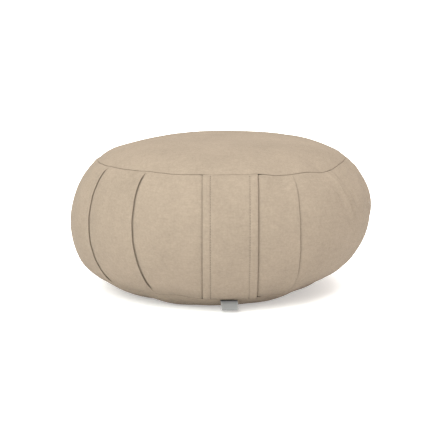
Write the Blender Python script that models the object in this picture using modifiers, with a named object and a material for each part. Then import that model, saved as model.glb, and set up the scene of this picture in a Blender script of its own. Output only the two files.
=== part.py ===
"""Zafu: a round, pleated floor cushion, 400 mm across and 200 mm high.

The cushion is a filled side band with knife pleats, a round top panel and a
round bottom panel sewn to it, a flat topstitched panel over the closure at
the front, and a small folded ribbon tab in the bottom seam.

Axes: +Z is up, -Y is the front. The origin is on the resting face, under the
middle of the cushion.
An azimuth is 0 at the front and grows towards +X. A level runs from 0 at the
middle of the bottom panel to 1 at the bottom seam, 2 at the top seam and 3 at
the middle of the top panel. A lift is a distance out from the plain skin.
"""

import math

import bpy
import numpy as np

MM = 0.001
TURN = 2 * math.pi

# Overall form
HEIGHT = 200 * MM
FULL_RADIUS = 200 * MM
TOP_SEAM_RADIUS = 164 * MM
TOP_SEAM_HEIGHT = 173.5 * MM
BOTTOM_SEAM_RADIUS = 148 * MM
BOTTOM_SEAM_HEIGHT = 17 * MM
RESTING_RADIUS = 87 * MM
RESTING_TO_FRONT = 17 * MM
RESTING_FRONT_AZIMUTH = math.radians(8)
RESTING_FRONT_FROM = 0.72
RESTING_FRONT_OVER = 0.17
CROWN_POWER = 4.5
BULGE = 41.4 * MM
BULGE_TO_RIGHT = 4.4 * MM
BULGE_HALF_ARC = math.radians(61.6)
BULGE_DROP_TO_RIGHT = 2.7 * MM
SLUMP_TO_LEFT = 2.2 * MM
LEAN = 21 * MM

# Cloth and seams
CLOTH = 2 * MM
GAP = 0.3 * MM
UNDER_PANEL = 0.6 * MM
SEAM_GAP = 0.7 * MM
SEAM_VALLEY = 1.0 * MM
SEAM_VALLEY_WIDTH = 3.5 * MM
BAND_LENGTH = 190 * MM
PUFF = 1.6 * MM
FLAT_SPOT = 1.2 * MM
FLAT_FROM = 0.8

# Unevenness of the two seams: azimuth in degrees, rise or shift outwards in
# millimetres. It dies away within the reach, in levels.
SEAM_REACH = 0.35
TOP_SEAM_RISE = (
    (-150, 0.0),
    (-95, -2.0),
    (-66, 0.0),
    (-40, 2.2),
    (0, 2.4),
    (14, 2.6),
    (30, -0.5),
    (39, 0.5),
    (52, -3.0),
    (72, 1.5),
    (95, 3.0),
    (140, 0.0),
)
BOTTOM_SEAM_RISE = (
    (-120, 0.5),
    (-60, 2.0),
    (-20, 2.0),
    (0, -1.0),
    (22, -1.6),
    (60, -1.0),
    (130, 0.0),
)
TOP_SEAM_SHIFT = (
    (-150, 0.0),
    (-95, 2.2),
    (-60, 0.0),
    (50, 0.0),
    (72, -3.2),
    (100, -3.0),
    (150, 0.0),
)

# Where the fill has settled or stands proud of the plain form. Each row is a
# bell curve along the azimuth times one along the levels. It comes in over the
# clearance, in levels, from where the cushion rests.
CLEAR_OF_FLOOR = 0.2
SETTLED = (
    # place, azimuth deg, level, width deg, width in levels, swelling mm
    ("left side", -88, 1.40, 25, 0.25, -0.8),
    ("left shoulder", -88, 1.88, 20, 0.11, -1.4),
    ("left rim of the top", -98, 2.10, 18, 0.09, 2.0),
    ("low on the left", -76, 1.12, 25, 0.12, 2.6),
    ("right side", 88, 1.60, 25, 0.35, -1.6),
    ("right rim of the top", 94, 2.05, 18, 0.10, 0.8),
    ("right shoulder", 84, 1.86, 20, 0.10, -1.2),
    ("low on the right", 60, 1.05, 16, 0.10, -3.0),
    ("right, above the low part", 76, 1.17, 16, 0.07, 1.0),
    ("back of the top, left", -136, 2.15, 28, 0.14, -6.0),
    ("top, left of the middle", -125, 2.32, 25, 0.12, -1.3),
    ("back of the top, right", 115, 2.12, 20, 0.09, -2.6),
    ("back of the top", 165, 2.15, 35, 0.14, -1.0),
)

# Knife pleats, all folded towards growing azimuth. The azimuths are those of
# the fold's edge, in degrees: at the top seam, halfway up and at the bottom
# seam. The edge stands up by the lip, and the gap runs back under it. The
# cloth beyond comes out of the gap from the drop's depth.
PLEATS = (
    # top, middle, bottom, lip mm, drop mm
    (30.4, 30.6, 39.0, 1.4, 2.0),
    (52.2, 59.6, 71.2, 0.8, 1.0),
    (84.0, 88.0, 93.0, 1.8, 2.6),
    (108.0, 111.0, 115.0, 2.2, 3.0),
    (133.0, 135.0, 138.0, 1.8, 2.6),
    (157.0, 158.0, 160.0, 2.2, 3.0),
    (181.0, 181.0, 182.0, 2.0, 2.6),
    (205.0, 204.5, 205.0, 2.2, 3.0),
    (229.0, 228.0, 229.0, 1.8, 2.6),
    (245.0, 246.0, 249.0, 2.0, 2.8),
    (258.0, 262.0, 267.0, 1.8, 2.4),
    (298.8, 303.0, 308.4, 1.4, 2.0),
    (324.8, 327.8, 333.0, 1.6, 2.2),
)
PLEAT_SECTION = (
    # across mm, across where the fold is closed mm, share of the lip, share of the drop
    (-15.0, -15.0, 0.15, 0.0),
    (-6.5, -6.5, 0.55, 0.0),
    (-1.9, -1.9, 0.95, 0.0),
    (-0.3, -0.3, 0.85, 0.0),
    (0.0, 0.0, 0.45, 0.0),
    (-0.6, 0.2, 0.10, 0.0),
    (-6.0, 0.4, 0.00, 0.9),
    (0.5, 0.7, 0.00, 1.0),
    (2.4, 2.4, 0.00, 0.4),
    (8.0, 8.0, 0.00, 0.1),
)
POINTS_BETWEEN_PLEATS = 3
PLEAT_FADE = 0.13
GAP_FADE = 0.07

# Panel over the closure
PANEL_LEFT = -18 * MM
PANEL_RIGHT = 49.5 * MM
PANEL_RECESS = 1.3 * MM
PANEL_END = 0.006
BESIDE_PANEL_SECTION = (
    # distance from the panel's edge mm, lift of the band mm
    (0.3, -1.3),
    (0.8, -0.3),
    (7.0, 0.0),
)
PANEL_SECTION = (
    # share of the half-width, lift of the outer face mm
    (1.000, 0.1),
    (0.985, 1.0),
    (0.870, 1.2),
    (0.755, 1.1),
    (0.731, 0.5),
    (0.705, 0.9),
    (0.450, 1.0),
    (0.000, 1.0),
)
PANEL_BACK_SHARES = (1.0, 0.5, 0.0, -0.5, -1.0)

# Ribbon tab
RIBBON_X = 14.4 * MM
RIBBON_WIDTH = 21.5 * MM
RIBBON_LAYER = 1 * MM
RIBBON_LAYERS_APART = 1.7 * MM
RIBBON_DROP = 11 * MM
RIBBON_REACH = 5 * MM
RIBBON_CORNER = 1.2 * MM
RIBBON_CORNER_POWER = 8
RIBBON_FLOOR_CLEARANCE = 0.7 * MM
RIBBON_SHARES = (0, 0.35, 0.7, 1)
RIBBON_ACROSS = (-1, -0.33, 0.33, 1)
RIBBON_FOLD_STEPS = 6

# Rows and columns of the meshes
BAND_SHARES = (0, 0.018, 0.06, 0.12, 0.2, 0.29, 0.38, 0.47, 0.56, 0.65, 0.74, 0.82, 0.89, 0.945, 0.982, 1)
CAP_SHARES = (0.30, 0.55, 0.72, 0.86, 0.95)
DISC_SHARES = (0.20, 0.42, 0.59, 0.68, 0.76, 0.83, 0.89, 0.945, 0.98, 1)
DISC_COLUMNS = 72
TOP_OF_BAND = 2 - 1e-6
SLOPE_STEP = 1e-4
CROSSING_ROUNDS = 6

# Colours and roughness of the cloth
CANVAS = ((0.56, 0.46, 0.325, 1), 0.92)
CANVAS_TOP = ((0.575, 0.475, 0.335, 1), 0.92)
RIBBON = ((0.62, 0.62, 0.62, 1), 0.45)


def eased(table, azimuth):
    """Value of a periodic table of (degrees, value) at an azimuth, eased between its rows."""
    degrees = np.array([row[0] for row in table], float)
    values = np.array([row[1] for row in table], float)
    degrees = np.concatenate([degrees, [degrees[0] + 360]])
    values = np.concatenate([values, [values[0]]])
    place = (np.degrees(azimuth) - degrees[0]) % 360 + degrees[0]
    row = np.clip(np.searchsorted(degrees, place, side="right") - 1, 0, len(degrees) - 2)
    share = (place - degrees[row]) / (degrees[row + 1] - degrees[row])
    ease = share * share * (3 - 2 * share)
    return values[row] + (values[row + 1] - values[row]) * ease


def near_seam(level, seam):
    """1 at the seam's level, eased to 0 at the reach from it."""
    near = np.clip(1 - np.abs(level - seam) / SEAM_REACH, 0, 1)
    return near * near * (3 - 2 * near)


def seam_rise(azimuth, level):
    """Height added near the two seams."""
    top = eased(TOP_SEAM_RISE, azimuth) * near_seam(level, 2)
    bottom = eased(BOTTOM_SEAM_RISE, azimuth) * near_seam(level, 1)
    return MM * (top + bottom)


def settled(azimuth, level):
    """Swelling of the settled fill: a sum of bell curves, and none where the cushion rests."""
    swelling = np.zeros(level.shape)
    for _, place, place_up, width, width_up, amount in SETTLED:
        around = (np.degrees(azimuth) - place + 180) % 360 - 180
        swelling = swelling + amount * MM * np.exp(-((around / width) ** 2) - ((level - place_up) / width_up) ** 2)
    clear = np.clip((level - RESTING_RADIUS / BOTTOM_SEAM_RADIUS) / CLEAR_OF_FLOOR, 0, 1)
    return swelling * clear * clear * (3 - 2 * clear)


def resting_radius(azimuth):
    """Radius of the flat resting face, which reaches further out at the front, where the fill has settled."""
    front = (np.cos(azimuth - RESTING_FRONT_AZIMUTH) - RESTING_FRONT_FROM) / RESTING_FRONT_OVER
    front = np.clip(front, 0, 1)
    return RESTING_RADIUS + RESTING_TO_FRONT * front * front * (3 - 2 * front)


def skin(azimuth, level):
    """Point of the plain skin.

    The bottom panel is flat out to the resting radius and then rises with the
    square of the distance. The band is an arc that bulges out between the two
    seams, and on the left it has slumped: fuller low down, slimmer high up.
    The top panel falls from the crown with a power of the distance.
    The settled fill moves it along the normal of a flattened ball.
    The whole leans a little towards +X with its height.
    """
    azimuth, level = np.broadcast_arrays(np.asarray(azimuth, float), np.asarray(level, float))
    across = np.sin(azimuth)
    band = np.clip(level - 1, 0, 1)
    slant = np.arcsin((2 * band - 1) * math.sin(BULGE_HALF_ARC))
    bump = (np.cos(slant) - math.cos(BULGE_HALF_ARC)) / (1 - math.cos(BULGE_HALF_ARC))
    radius = BOTTOM_SEAM_RADIUS + (TOP_SEAM_RADIUS - BOTTOM_SEAM_RADIUS) * band
    radius = radius + (BULGE + BULGE_TO_RIGHT * across) * bump
    radius = radius + SLUMP_TO_LEFT * np.clip(-across, 0, 1) ** 2 * np.sin(2 * math.pi * band)
    z = BOTTOM_SEAM_HEIGHT + (TOP_SEAM_HEIGHT - BOTTOM_SEAM_HEIGHT) * band
    z = z - BULGE_DROP_TO_RIGHT * across * bump

    out = np.clip(level, 0, 1)
    resting = resting_radius(azimuth) / BOTTOM_SEAM_RADIUS
    rise = np.clip((out - resting) / (1 - resting), 0, 1) ** 2
    below = level < 1
    radius = np.where(below, BOTTOM_SEAM_RADIUS * out, radius)
    z = np.where(below, BOTTOM_SEAM_HEIGHT * rise, z)

    out = np.clip(3 - level, 0, 1)
    above = level > 2
    radius = np.where(above, TOP_SEAM_RADIUS * out, radius)
    z = np.where(above, HEIGHT - (HEIGHT - TOP_SEAM_HEIGHT) * out**CROWN_POWER, z)

    z = z + seam_rise(azimuth, level) * np.where(below, rise, 1)
    radius = radius + MM * eased(TOP_SEAM_SHIFT, azimuth) * near_seam(level, 2)
    lean = LEAN * (z / HEIGHT - 0.5)
    swelling = settled(azimuth, level)
    outwards, upwards = radius / FULL_RADIUS**2, (z - HEIGHT / 2) / (HEIGHT / 2) ** 2
    steepness = np.hypot(outwards, upwards)
    radius = radius + swelling * outwards / steepness
    z = z + swelling * upwards / steepness
    return np.stack([radius * across + lean, -radius * np.cos(azimuth), z], axis=-1)


def outward(azimuth, level):
    """Unit normal of the plain skin: the cross product of its slopes along azimuth and level."""
    low = np.where(np.isin(level, (0, 1, 2)), level, np.asarray(level, float) - SLOPE_STEP)
    around = skin(azimuth + SLOPE_STEP, level) - skin(azimuth - SLOPE_STEP, level)
    upwards = skin(azimuth, np.asarray(level, float) + SLOPE_STEP) - skin(azimuth, low)
    normal = np.cross(around, upwards)
    return normal / np.linalg.norm(normal, axis=-1, keepdims=True)


def lifted(azimuth, level, lift):
    """Point at a lift from the skin."""
    azimuth, level, lift = np.broadcast_arrays(azimuth, level, lift)
    return skin(azimuth, level) + lift[..., None] * outward(azimuth, level)


def fold_azimuth(pleat, share):
    """Azimuth of a pleat's edge at a share of the band's height: a parabola through its three places."""
    top, middle, bottom = pleat[:3]
    slope = 4 * middle - top - 3 * bottom
    curve = 2 * (top + bottom - 2 * middle)
    return math.radians(bottom + slope * share + curve * share**2)


def azimuth_at(x, share):
    """Azimuth at which the front of the band crosses a plane of constant x."""
    azimuth = 0.0
    for _ in range(CROSSING_ROUNDS):
        point = skin(azimuth, 1 + share)
        radius = -point[1] / math.cos(azimuth)
        azimuth = math.asin((x - point[0] + radius * math.sin(azimuth)) / radius)
    return azimuth


def fade(share, width):
    """0 at both seams and 1 further than the width from them, eased."""
    near = min(share, 1 - share) / width
    near = min(max(near, 0.0), 1.0)
    return near * near * (3 - 2 * near)


def valley(distance):
    """Depth of the groove along a seam at a distance from it."""
    return -SEAM_VALLEY * np.clip(1 - np.abs(distance) / SEAM_VALLEY_WIDTH, 0, 1)


def band_valley(share):
    """Depth of the two seam grooves on the band."""
    return float(valley(min(share, 1 - share) * BAND_LENGTH))


def between_lift(part, share):
    """Lift between two folds: the cloth puffs out halfway up and is flattened at the seams."""
    puffed = PUFF * math.sin(math.pi * share) - FLAT_SPOT * math.cos(math.pi * share) ** 2
    return puffed * math.sin(math.pi * part) ** 2


def pleat_points(pleat, share):
    """Azimuths and lifts of a pleat's section: the rising edge, the gap under it and the cloth beyond."""
    edge = fold_azimuth(pleat, share)
    lip = pleat[3] * MM * fade(share, PLEAT_FADE)
    drop = pleat[4] * MM * fade(share, PLEAT_FADE)
    opened = fade(share, GAP_FADE)
    radius = np.linalg.norm(skin(edge, 1 + share)[:2])
    points = []
    for across, across_closed, lip_share, drop_share in PLEAT_SECTION:
        place = across * opened + across_closed * (1 - opened)
        points.append((edge + place * MM / radius, lip * lip_share - drop * drop_share))
    return points


def ring(share):
    """Azimuths and lifts of one ring of the band, once round from the middle of the closure panel."""
    left = azimuth_at(PANEL_LEFT, share)
    right = azimuth_at(PANEL_RIGHT, share)
    middle = (left + right) / 2
    recess = -PANEL_RECESS
    beside = [(across * MM / TOP_SEAM_RADIUS, lift * MM) for across, lift in BESIDE_PANEL_SECTION]
    sections = [[(right + across, lift) for across, lift in beside]]
    sections += [pleat_points(pleat, share) for pleat in PLEATS]
    sections += [[(left + TURN - across, lift) for across, lift in reversed(beside)]]
    points = [(middle, recess), ((middle + right) / 2, recess)]
    for section, following in zip(sections, sections[1:]):
        points += section
        start, end = section[-1], following[0]
        for k in range(1, POINTS_BETWEEN_PLEATS + 1):
            part = k / (POINTS_BETWEEN_PLEATS + 1)
            plain = start[1] + (end[1] - start[1]) * part
            points.append((start[0] + (end[0] - start[0]) * part, plain + between_lift(part, share)))
    points += sections[-1]
    points.append(((middle + left) / 2 + TURN, recess))
    table = np.array(points)
    return table[:, 0], table[:, 1] + band_valley(share)


def flat_spot(azimuth, out, top):
    """Lift of a round panel near its seam: flattened between folds as the band is."""
    share = 1 if top else 0
    folds = [azimuth_at(PANEL_RIGHT, share)] + [fold_azimuth(pleat, share) for pleat in PLEATS]
    folds += [azimuth_at(PANEL_LEFT, share) + TURN]
    place = (azimuth - folds[0]) % TURN + folds[0]
    phase = np.interp(place, folds, range(len(folds)))
    flat = -FLAT_SPOT * np.sin(math.pi * phase) ** 2 * max(0, (out - FLAT_FROM) / (1 - FLAT_FROM))
    return np.where(place > folds[-1], 0, flat)


def material(name, finish):
    """Principled material of one colour and roughness."""
    colour, roughness = finish
    made = bpy.data.materials.new(name)
    made.use_nodes = True
    shader = made.node_tree.nodes["Principled BSDF"]
    shader.inputs["Base Color"].default_value = colour
    shader.inputs["Roughness"].default_value = roughness
    shader.inputs["Metallic"].default_value = 0
    return made


def add_object(name, points, faces, finish, collection):
    """Object of one mesh, shaded smooth."""
    mesh = bpy.data.meshes.new(name)
    mesh.from_pydata(points, [], faces)
    mesh.validate()
    mesh.shade_smooth()
    made = bpy.data.objects.new(name, mesh)
    mesh.materials.append(material(f"{name}_cloth", finish))
    collection.objects.link(made)
    return made


def loft_faces(rings, columns, closed=True):
    """Quads between rings of points, which go round once when closed."""
    faces = []
    for row in range(rings - 1):
        for column in range(columns if closed else columns - 1):
            a = row * columns + column
            b = row * columns + (column + 1) % columns
            faces.append((a, b, b + columns, a + columns))
    return faces


def fan(pole, start, columns, upwards):
    """Triangles from a pole to a ring."""
    faces = []
    for column in range(columns):
        a = start + column
        b = start + (column + 1) % columns
        faces.append((a, b, pole) if upwards else (b, a, pole))
    return faces


def side_band(collection):
    """Filled band: pleated rings between the seams, closed by caps that lie inside the two panels."""
    inside = -(CLOTH + UNDER_PANEL)
    corner = inside - SEAM_VALLEY - GAP
    bottom_azimuth, _ = ring(0)
    top_azimuth, _ = ring(1)
    rows = []
    for share in CAP_SHARES:
        rows.append(lifted(bottom_azimuth, share, inside + flat_spot(bottom_azimuth, share, top=False)))
    bottom_corner = 1 - GAP / BOTTOM_SEAM_RADIUS
    rows.append(lifted(bottom_azimuth, bottom_corner, corner + flat_spot(bottom_azimuth, 1, top=False)))
    for share in BAND_SHARES:
        azimuth, lift = ring(share)
        rows.append(lifted(azimuth, min(1 + share, TOP_OF_BAND), lift))
    top_corner = 2 + GAP / TOP_SEAM_RADIUS
    rows.append(lifted(top_azimuth, top_corner, corner + flat_spot(top_azimuth, 1, top=True)))
    for share in reversed(CAP_SHARES):
        rows.append(lifted(top_azimuth, 3 - share, inside + flat_spot(top_azimuth, share, top=True)))
    columns = len(bottom_azimuth)
    points = np.concatenate(rows + [[(-LEAN / 2, 0, -inside), (LEAN / 2, 0, HEIGHT + inside)]])
    faces = loft_faces(len(rows), columns)
    faces += fan(len(points) - 2, 0, columns, upwards=False)
    faces += fan(len(points) - 1, (len(rows) - 1) * columns, columns, upwards=True)
    return add_object("side_band", points, faces, CANVAS, collection)


def disc(name, top, finish, collection):
    """Round panel: an open sheet from its middle to its seam, thickened inwards."""
    azimuth = np.arange(DISC_COLUMNS) * TURN / DISC_COLUMNS
    radius = TOP_SEAM_RADIUS if top else BOTTOM_SEAM_RADIUS
    edge = 1 - SEAM_GAP / radius
    rows = []
    for share in DISC_SHARES:
        place = share * edge
        dip = valley((1 - place) * radius) + flat_spot(azimuth, place, top)
        rows.append(lifted(azimuth, 3 - place if top else place, dip))
    middle = (LEAN / 2, 0, HEIGHT) if top else (-LEAN / 2, 0, 0)
    points = np.concatenate(rows + [[middle]])
    faces = [face[::-1] if top else face for face in loft_faces(len(rows), DISC_COLUMNS)]
    faces += fan(len(points) - 1, 0, DISC_COLUMNS, upwards=top)
    made = add_object(name, points, faces, finish, collection)
    wall = made.modifiers.new("cloth", "SOLIDIFY")
    wall.thickness = CLOTH
    wall.offset = -1
    return made


def closure_panel(collection):
    """Strip of constant width down the front, with two folded edges and a stitch line inside each."""
    half = (PANEL_RIGHT - PANEL_LEFT) / 2
    middle = (PANEL_RIGHT + PANEL_LEFT) / 2
    outer = [(-share, lift) for share, lift in PANEL_SECTION]
    outer += [(share, lift) for share, lift in reversed(PANEL_SECTION[:-1])]
    back = [(share, (GAP - PANEL_RECESS) / MM) for share in PANEL_BACK_SHARES]
    section = outer + back
    rows = []
    for share in (PANEL_END, *BAND_SHARES[1:-1], 1 - PANEL_END):
        azimuth = np.array([azimuth_at(middle + half * across, share) for across, _ in section])
        lift = np.array([lift * MM for _, lift in section]) + band_valley(share)
        rows.append(lifted(azimuth, 1 + share, lift))
    points = np.concatenate(rows)
    columns = len(section)
    faces = loft_faces(len(rows), columns)
    last = (len(rows) - 1) * columns
    faces.append(tuple(reversed(range(columns))))
    faces.append(tuple(range(last, last + columns)))
    return add_object("closure_panel", points, faces, CANVAS, collection)


def ribbon_tab(collection):
    """Short folded loop: down the front layer, round the fold and back up the rear layer."""
    azimuth = azimuth_at(RIBBON_X, 0)
    seam = skin(azimuth, 1)
    low = np.array([-RIBBON_REACH, -RIBBON_DROP])
    slope = low / np.linalg.norm(low)
    side = np.array([slope[1], -slope[0]])
    half = RIBBON_LAYERS_APART / 2
    start = np.array([seam[1], seam[2]]) + side * half - np.array([0, RIBBON_LAYER + 2 * GAP])
    length = min(np.linalg.norm(low), (start[1] - RIBBON_FLOOR_CLEARANCE - half) / -slope[1])
    front = [start + side * half + slope * length * share for share in RIBBON_SHARES]
    fold = []
    for k in range(1, RIBBON_FOLD_STEPS):
        angle = math.pi * k / RIBBON_FOLD_STEPS
        fold.append(start + slope * length + half * (side * math.cos(angle) + slope * math.sin(angle)))
    rear = [start - side * half + slope * length * share for share in reversed(RIBBON_SHARES)]
    path = front + fold + rear
    points = []
    for k, (y, z) in enumerate(path):
        at_fold = math.sin(math.pi * k / (len(path) - 1)) ** RIBBON_CORNER_POWER
        reach = RIBBON_WIDTH / 2 - RIBBON_CORNER * at_fold
        points += [(RIBBON_X + reach * across, y, z) for across in RIBBON_ACROSS]
    faces = loft_faces(len(path), len(RIBBON_ACROSS), closed=False)
    made = add_object("ribbon_tab", points, faces, RIBBON, collection)
    wall = made.modifiers.new("cloth", "SOLIDIFY")
    wall.thickness = RIBBON_LAYER
    wall.offset = 0
    return made


def main():
    """Makes the cushion's pieces in a collection of their own."""
    for old in list(bpy.data.objects):
        bpy.data.objects.remove(old)
    collection = bpy.data.collections.new("zafu")
    bpy.context.scene.collection.children.link(collection)
    side_band(collection)
    disc("top_panel", True, CANVAS_TOP, collection)
    disc("bottom_panel", False, CANVAS, collection)
    closure_panel(collection)
    ribbon_tab(collection)


main()
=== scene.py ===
"""Zafu cushion: the looks. The cover's cloth, folds, seams, stitches and ribbon, laid over the solid model.

Axes: +Z is up, -Y is the front. An azimuth is 0 at the front and grows
towards +X. A level runs from 0 at the middle of the bottom panel to 1 at the
bottom seam, 2 at the top seam and 3 at the middle of the top panel. A share
is the part of the side band's height, from 0 at the bottom seam to 1 at the
top one. A lift is a distance out from the plain skin.
"""
import math

import bpy
import numpy as np
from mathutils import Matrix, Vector


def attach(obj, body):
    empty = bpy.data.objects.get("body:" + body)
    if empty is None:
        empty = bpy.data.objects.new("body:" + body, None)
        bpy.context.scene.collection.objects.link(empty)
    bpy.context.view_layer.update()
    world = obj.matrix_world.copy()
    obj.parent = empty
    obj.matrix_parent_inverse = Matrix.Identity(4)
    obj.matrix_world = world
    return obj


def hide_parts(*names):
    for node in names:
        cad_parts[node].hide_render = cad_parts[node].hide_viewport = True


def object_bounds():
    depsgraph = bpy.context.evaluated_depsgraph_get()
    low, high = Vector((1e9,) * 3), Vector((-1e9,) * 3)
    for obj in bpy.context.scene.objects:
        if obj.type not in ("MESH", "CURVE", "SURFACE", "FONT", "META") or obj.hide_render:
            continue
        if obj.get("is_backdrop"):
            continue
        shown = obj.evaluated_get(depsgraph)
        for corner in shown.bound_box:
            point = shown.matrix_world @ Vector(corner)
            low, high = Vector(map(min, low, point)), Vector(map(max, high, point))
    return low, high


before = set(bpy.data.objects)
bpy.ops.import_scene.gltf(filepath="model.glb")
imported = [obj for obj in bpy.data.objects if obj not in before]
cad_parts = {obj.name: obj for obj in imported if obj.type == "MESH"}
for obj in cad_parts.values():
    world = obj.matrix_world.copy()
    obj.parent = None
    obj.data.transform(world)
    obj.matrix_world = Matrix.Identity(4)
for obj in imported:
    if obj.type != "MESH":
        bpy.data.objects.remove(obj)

CAD_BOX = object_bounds()

bl_info = {
    "name": "Zafu cushion",
    "version": (1, 0, 0),
    "blender": (4, 5, 0),
    "location": "3D View > Sidebar > Zafu",
    "description": "Makes a round pleated floor cushion: cloth, folds, seams, stitches and ribbon tab",
    "category": "Object",
}

MM = 0.001
TURN = 2 * math.pi

# Overall form, the same as that of the solid model
HEIGHT = 200 * MM
TOP_SEAM_RADIUS = 164 * MM
TOP_SEAM_HEIGHT = 173.5 * MM
BOTTOM_SEAM_RADIUS = 148 * MM
BOTTOM_SEAM_HEIGHT = 17 * MM
RESTING_RADIUS = 87 * MM
CROWN_POWER = 4.5
BULGE = 41.4 * MM
BULGE_TO_RIGHT = 4.4 * MM
BULGE_HALF_ARC = math.radians(61.6)
BULGE_DROP_TO_RIGHT = 2.7 * MM
SLUMP_TO_LEFT = 2.2 * MM
LEAN = 21 * MM
BAND_LENGTH = 190 * MM
FULL_RADIUS = 200 * MM
CLEAR_OF_FLOOR = 0.2

# The flat resting face reaches further out about this azimuth. The reach
# begins at the first cosine of the angle from it, and is whole when the
# cosine has grown by the second.
RESTING_TO_FRONT = 17 * MM
RESTING_FRONT_AZIMUTH = math.radians(8)
RESTING_FRONT_FROM = 0.72
RESTING_FRONT_OVER = 0.17

# Unevenness of the two seams: azimuth in degrees, and the rise or the shift
# outwards in millimetres. It dies away within the reach, in levels.
SEAM_REACH = 0.35
TOP_SEAM_RISE = (
    (-150, 0.0),
    (-95, -2.0),
    (-66, 0.0),
    (-40, 2.2),
    (0, 2.4),
    (14, 2.6),
    (30, -0.5),
    (39, 0.5),
    (52, -3.0),
    (72, 1.5),
    (95, 3.0),
    (140, 0.0),
)
BOTTOM_SEAM_RISE = (
    (-120, 0.5),
    (-60, 2.0),
    (-20, 2.0),
    (0, -1.0),
    (22, -1.6),
    (60, -1.0),
    (130, 0.0),
)
TOP_SEAM_SHIFT = (
    (-150, 0.0),
    (-95, 2.2),
    (-60, 0.0),
    (50, 0.0),
    (72, -3.2),
    (100, -3.0),
    (150, 0.0),
)

# Where the fill has settled or stands proud of the plain form. Each row is a
# bell curve along the azimuth times one along the levels.
SETTLED = (
    # place, azimuth deg, level, width deg, width in levels, swelling mm
    ("left side", -88, 1.40, 25, 0.25, -0.8),
    ("left shoulder", -88, 1.88, 20, 0.11, -1.4),
    ("left rim of the top", -98, 2.10, 18, 0.09, 2.0),
    ("low on the left", -76, 1.12, 25, 0.12, 2.6),
    ("right side", 88, 1.60, 25, 0.35, -1.6),
    ("right rim of the top", 94, 2.05, 18, 0.10, 0.8),
    ("right shoulder", 84, 1.86, 20, 0.10, -1.2),
    ("low on the right", 60, 1.05, 16, 0.10, -3.0),
    ("right, above the low part", 76, 1.17, 16, 0.07, 1.0),
    ("back of the top, left", -136, 2.15, 28, 0.14, -6.0),
    ("top, left of the middle", -125, 2.32, 25, 0.12, -1.3),
    ("back of the top, right", 115, 2.12, 20, 0.09, -2.6),
    ("back of the top", 165, 2.15, 35, 0.14, -1.0),
)

# Knife pleats, all folded towards growing azimuth. The azimuths are those of
# the fold's edge, in degrees: at the top seam, halfway up and at the bottom
# seam. The upper layer stands up by the lip at its edge, and the lower layer
# comes out of the gap at the drop's depth.
PLEATS = (
    # top, middle, bottom, lip mm, drop mm
    (30.4, 30.6, 39.0, 1.1, 2.0),
    (53.6, 60.0, 71.2, 0.6, 0.5),
    (84.0, 88.0, 93.0, 1.8, 2.6),
    (108.0, 111.0, 115.0, 2.2, 3.0),
    (133.0, 135.0, 138.0, 1.8, 2.6),
    (157.0, 158.0, 160.0, 2.2, 3.0),
    (181.0, 181.0, 182.0, 2.0, 2.6),
    (205.0, 204.5, 205.0, 2.2, 3.0),
    (229.0, 228.0, 229.0, 1.8, 2.6),
    (245.0, 246.0, 249.0, 2.0, 2.8),
    (254.5, 261.0, 267.0, 1.4, 2.0),
    (298.8, 303.0, 308.4, 0.6, 0.75),
    (324.8, 327.8, 333.0, 0.8, 1.15),
)

# Ends of the pleats, in shares of the band's height, and the fold's section
PLEAT_FADE = 0.06
GAP_FADE_BOTTOM = 0.095
GAP_FADE_TOP = 0.025
SEWN_FROM = 0.035
SEWN_STEP = 0.45 * MM
STEP_AT_SEAM = 0.3
NOSE_WHERE_CLOSED = 0.35
GAP_DEPTH = 8 * MM
GAP_CURVE = 1.6
LOWER_LAYER_OUT = 0.7 * MM
LIP_REACH = 15 * MM
DROP_REACH = 1.2 * MM
PUFF = 1.6 * MM
FLAT_SPOT = 1.2 * MM
FLAT_FROM = 0.8
DOME_ALLOWANCE = 1.03

# Seams
EDGE_TURN = 0.8 * MM
SEAM_HALF_GAP = 0.15 * MM
SEAM_DIP = 0.4 * MM
SEAM_DIP_REACH = 5 * MM
UNDER_PANELS = 3.2 * MM
UNDER_CROWN = 9.6 * MM
BAND_INSET = 1.5 * MM

# Panel over the closure
PANEL_LEFT = -18 * MM
PANEL_RIGHT = 49.5 * MM
PANEL_WIDTH = PANEL_RIGHT - PANEL_LEFT
PANEL_MIDDLE = (PANEL_LEFT + PANEL_RIGHT) / 2
PANEL_RECESS = 1.3 * MM
PANEL_CLEARANCE = 0.3 * MM
PANEL_EDGE_REACH = 1.0 * MM
PANEL_BACK = 1.0 * MM
PANEL_FACE = 1.0 * MM
PANEL_SEWN_FLAT = 0.9 * MM
PANEL_SEWN_REACH = 3.0 * MM
HEM_PUFF = 0.7 * MM
HEM_STEP = 0.15 * MM
HEM_FADE = 0.02
DIP_LEFT_OF_PANEL = 0.6 * MM
DIP_RIGHT_OF_PANEL = 1.5 * MM
DIP_REACH = 5.0 * MM
STITCHES_IN_LEFT = 9.5 * MM
STITCHES_IN_RIGHT = 10.2 * MM
STITCH_LINES = (STITCHES_IN_LEFT, PANEL_WIDTH - STITCHES_IN_RIGHT)
STITCH_SINK = 0.55 * MM
STITCH_GROOVE = 0.9 * MM
NEEDLE_HOLES = 0.4
STITCH_STARTS = 0.20
STITCH_ENDS = 0.80
STITCH_THIN_END = 0.55
STITCH_SUNK_SHARE = 0.45

# Ribbon tab
RIBBON_X = 14.4 * MM
RIBBON_WIDTH = 21.5 * MM
RIBBON_DROP = 11 * MM
RIBBON_REACH = 5 * MM
RIBBON_LAYERS_APART = 1.7 * MM
RIBBON_BELOW_SEAM = 0.8 * MM
RIBBON_CORNER = 1.2 * MM
RIBBON_CORNER_POWER = 8
RIBBON_FLOOR_CLEARANCE = 0.9 * MM
RIBBON_BOW = 0.35 * MM
RIBBON_SLANT = 1.8 * MM
RIBBON_BOW_EDGE = 0.4
RIBBON_RIPPLE = 0.12 * MM
RIPPLES_ACROSS = 5
RIPPLES_ALONG = 7

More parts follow.
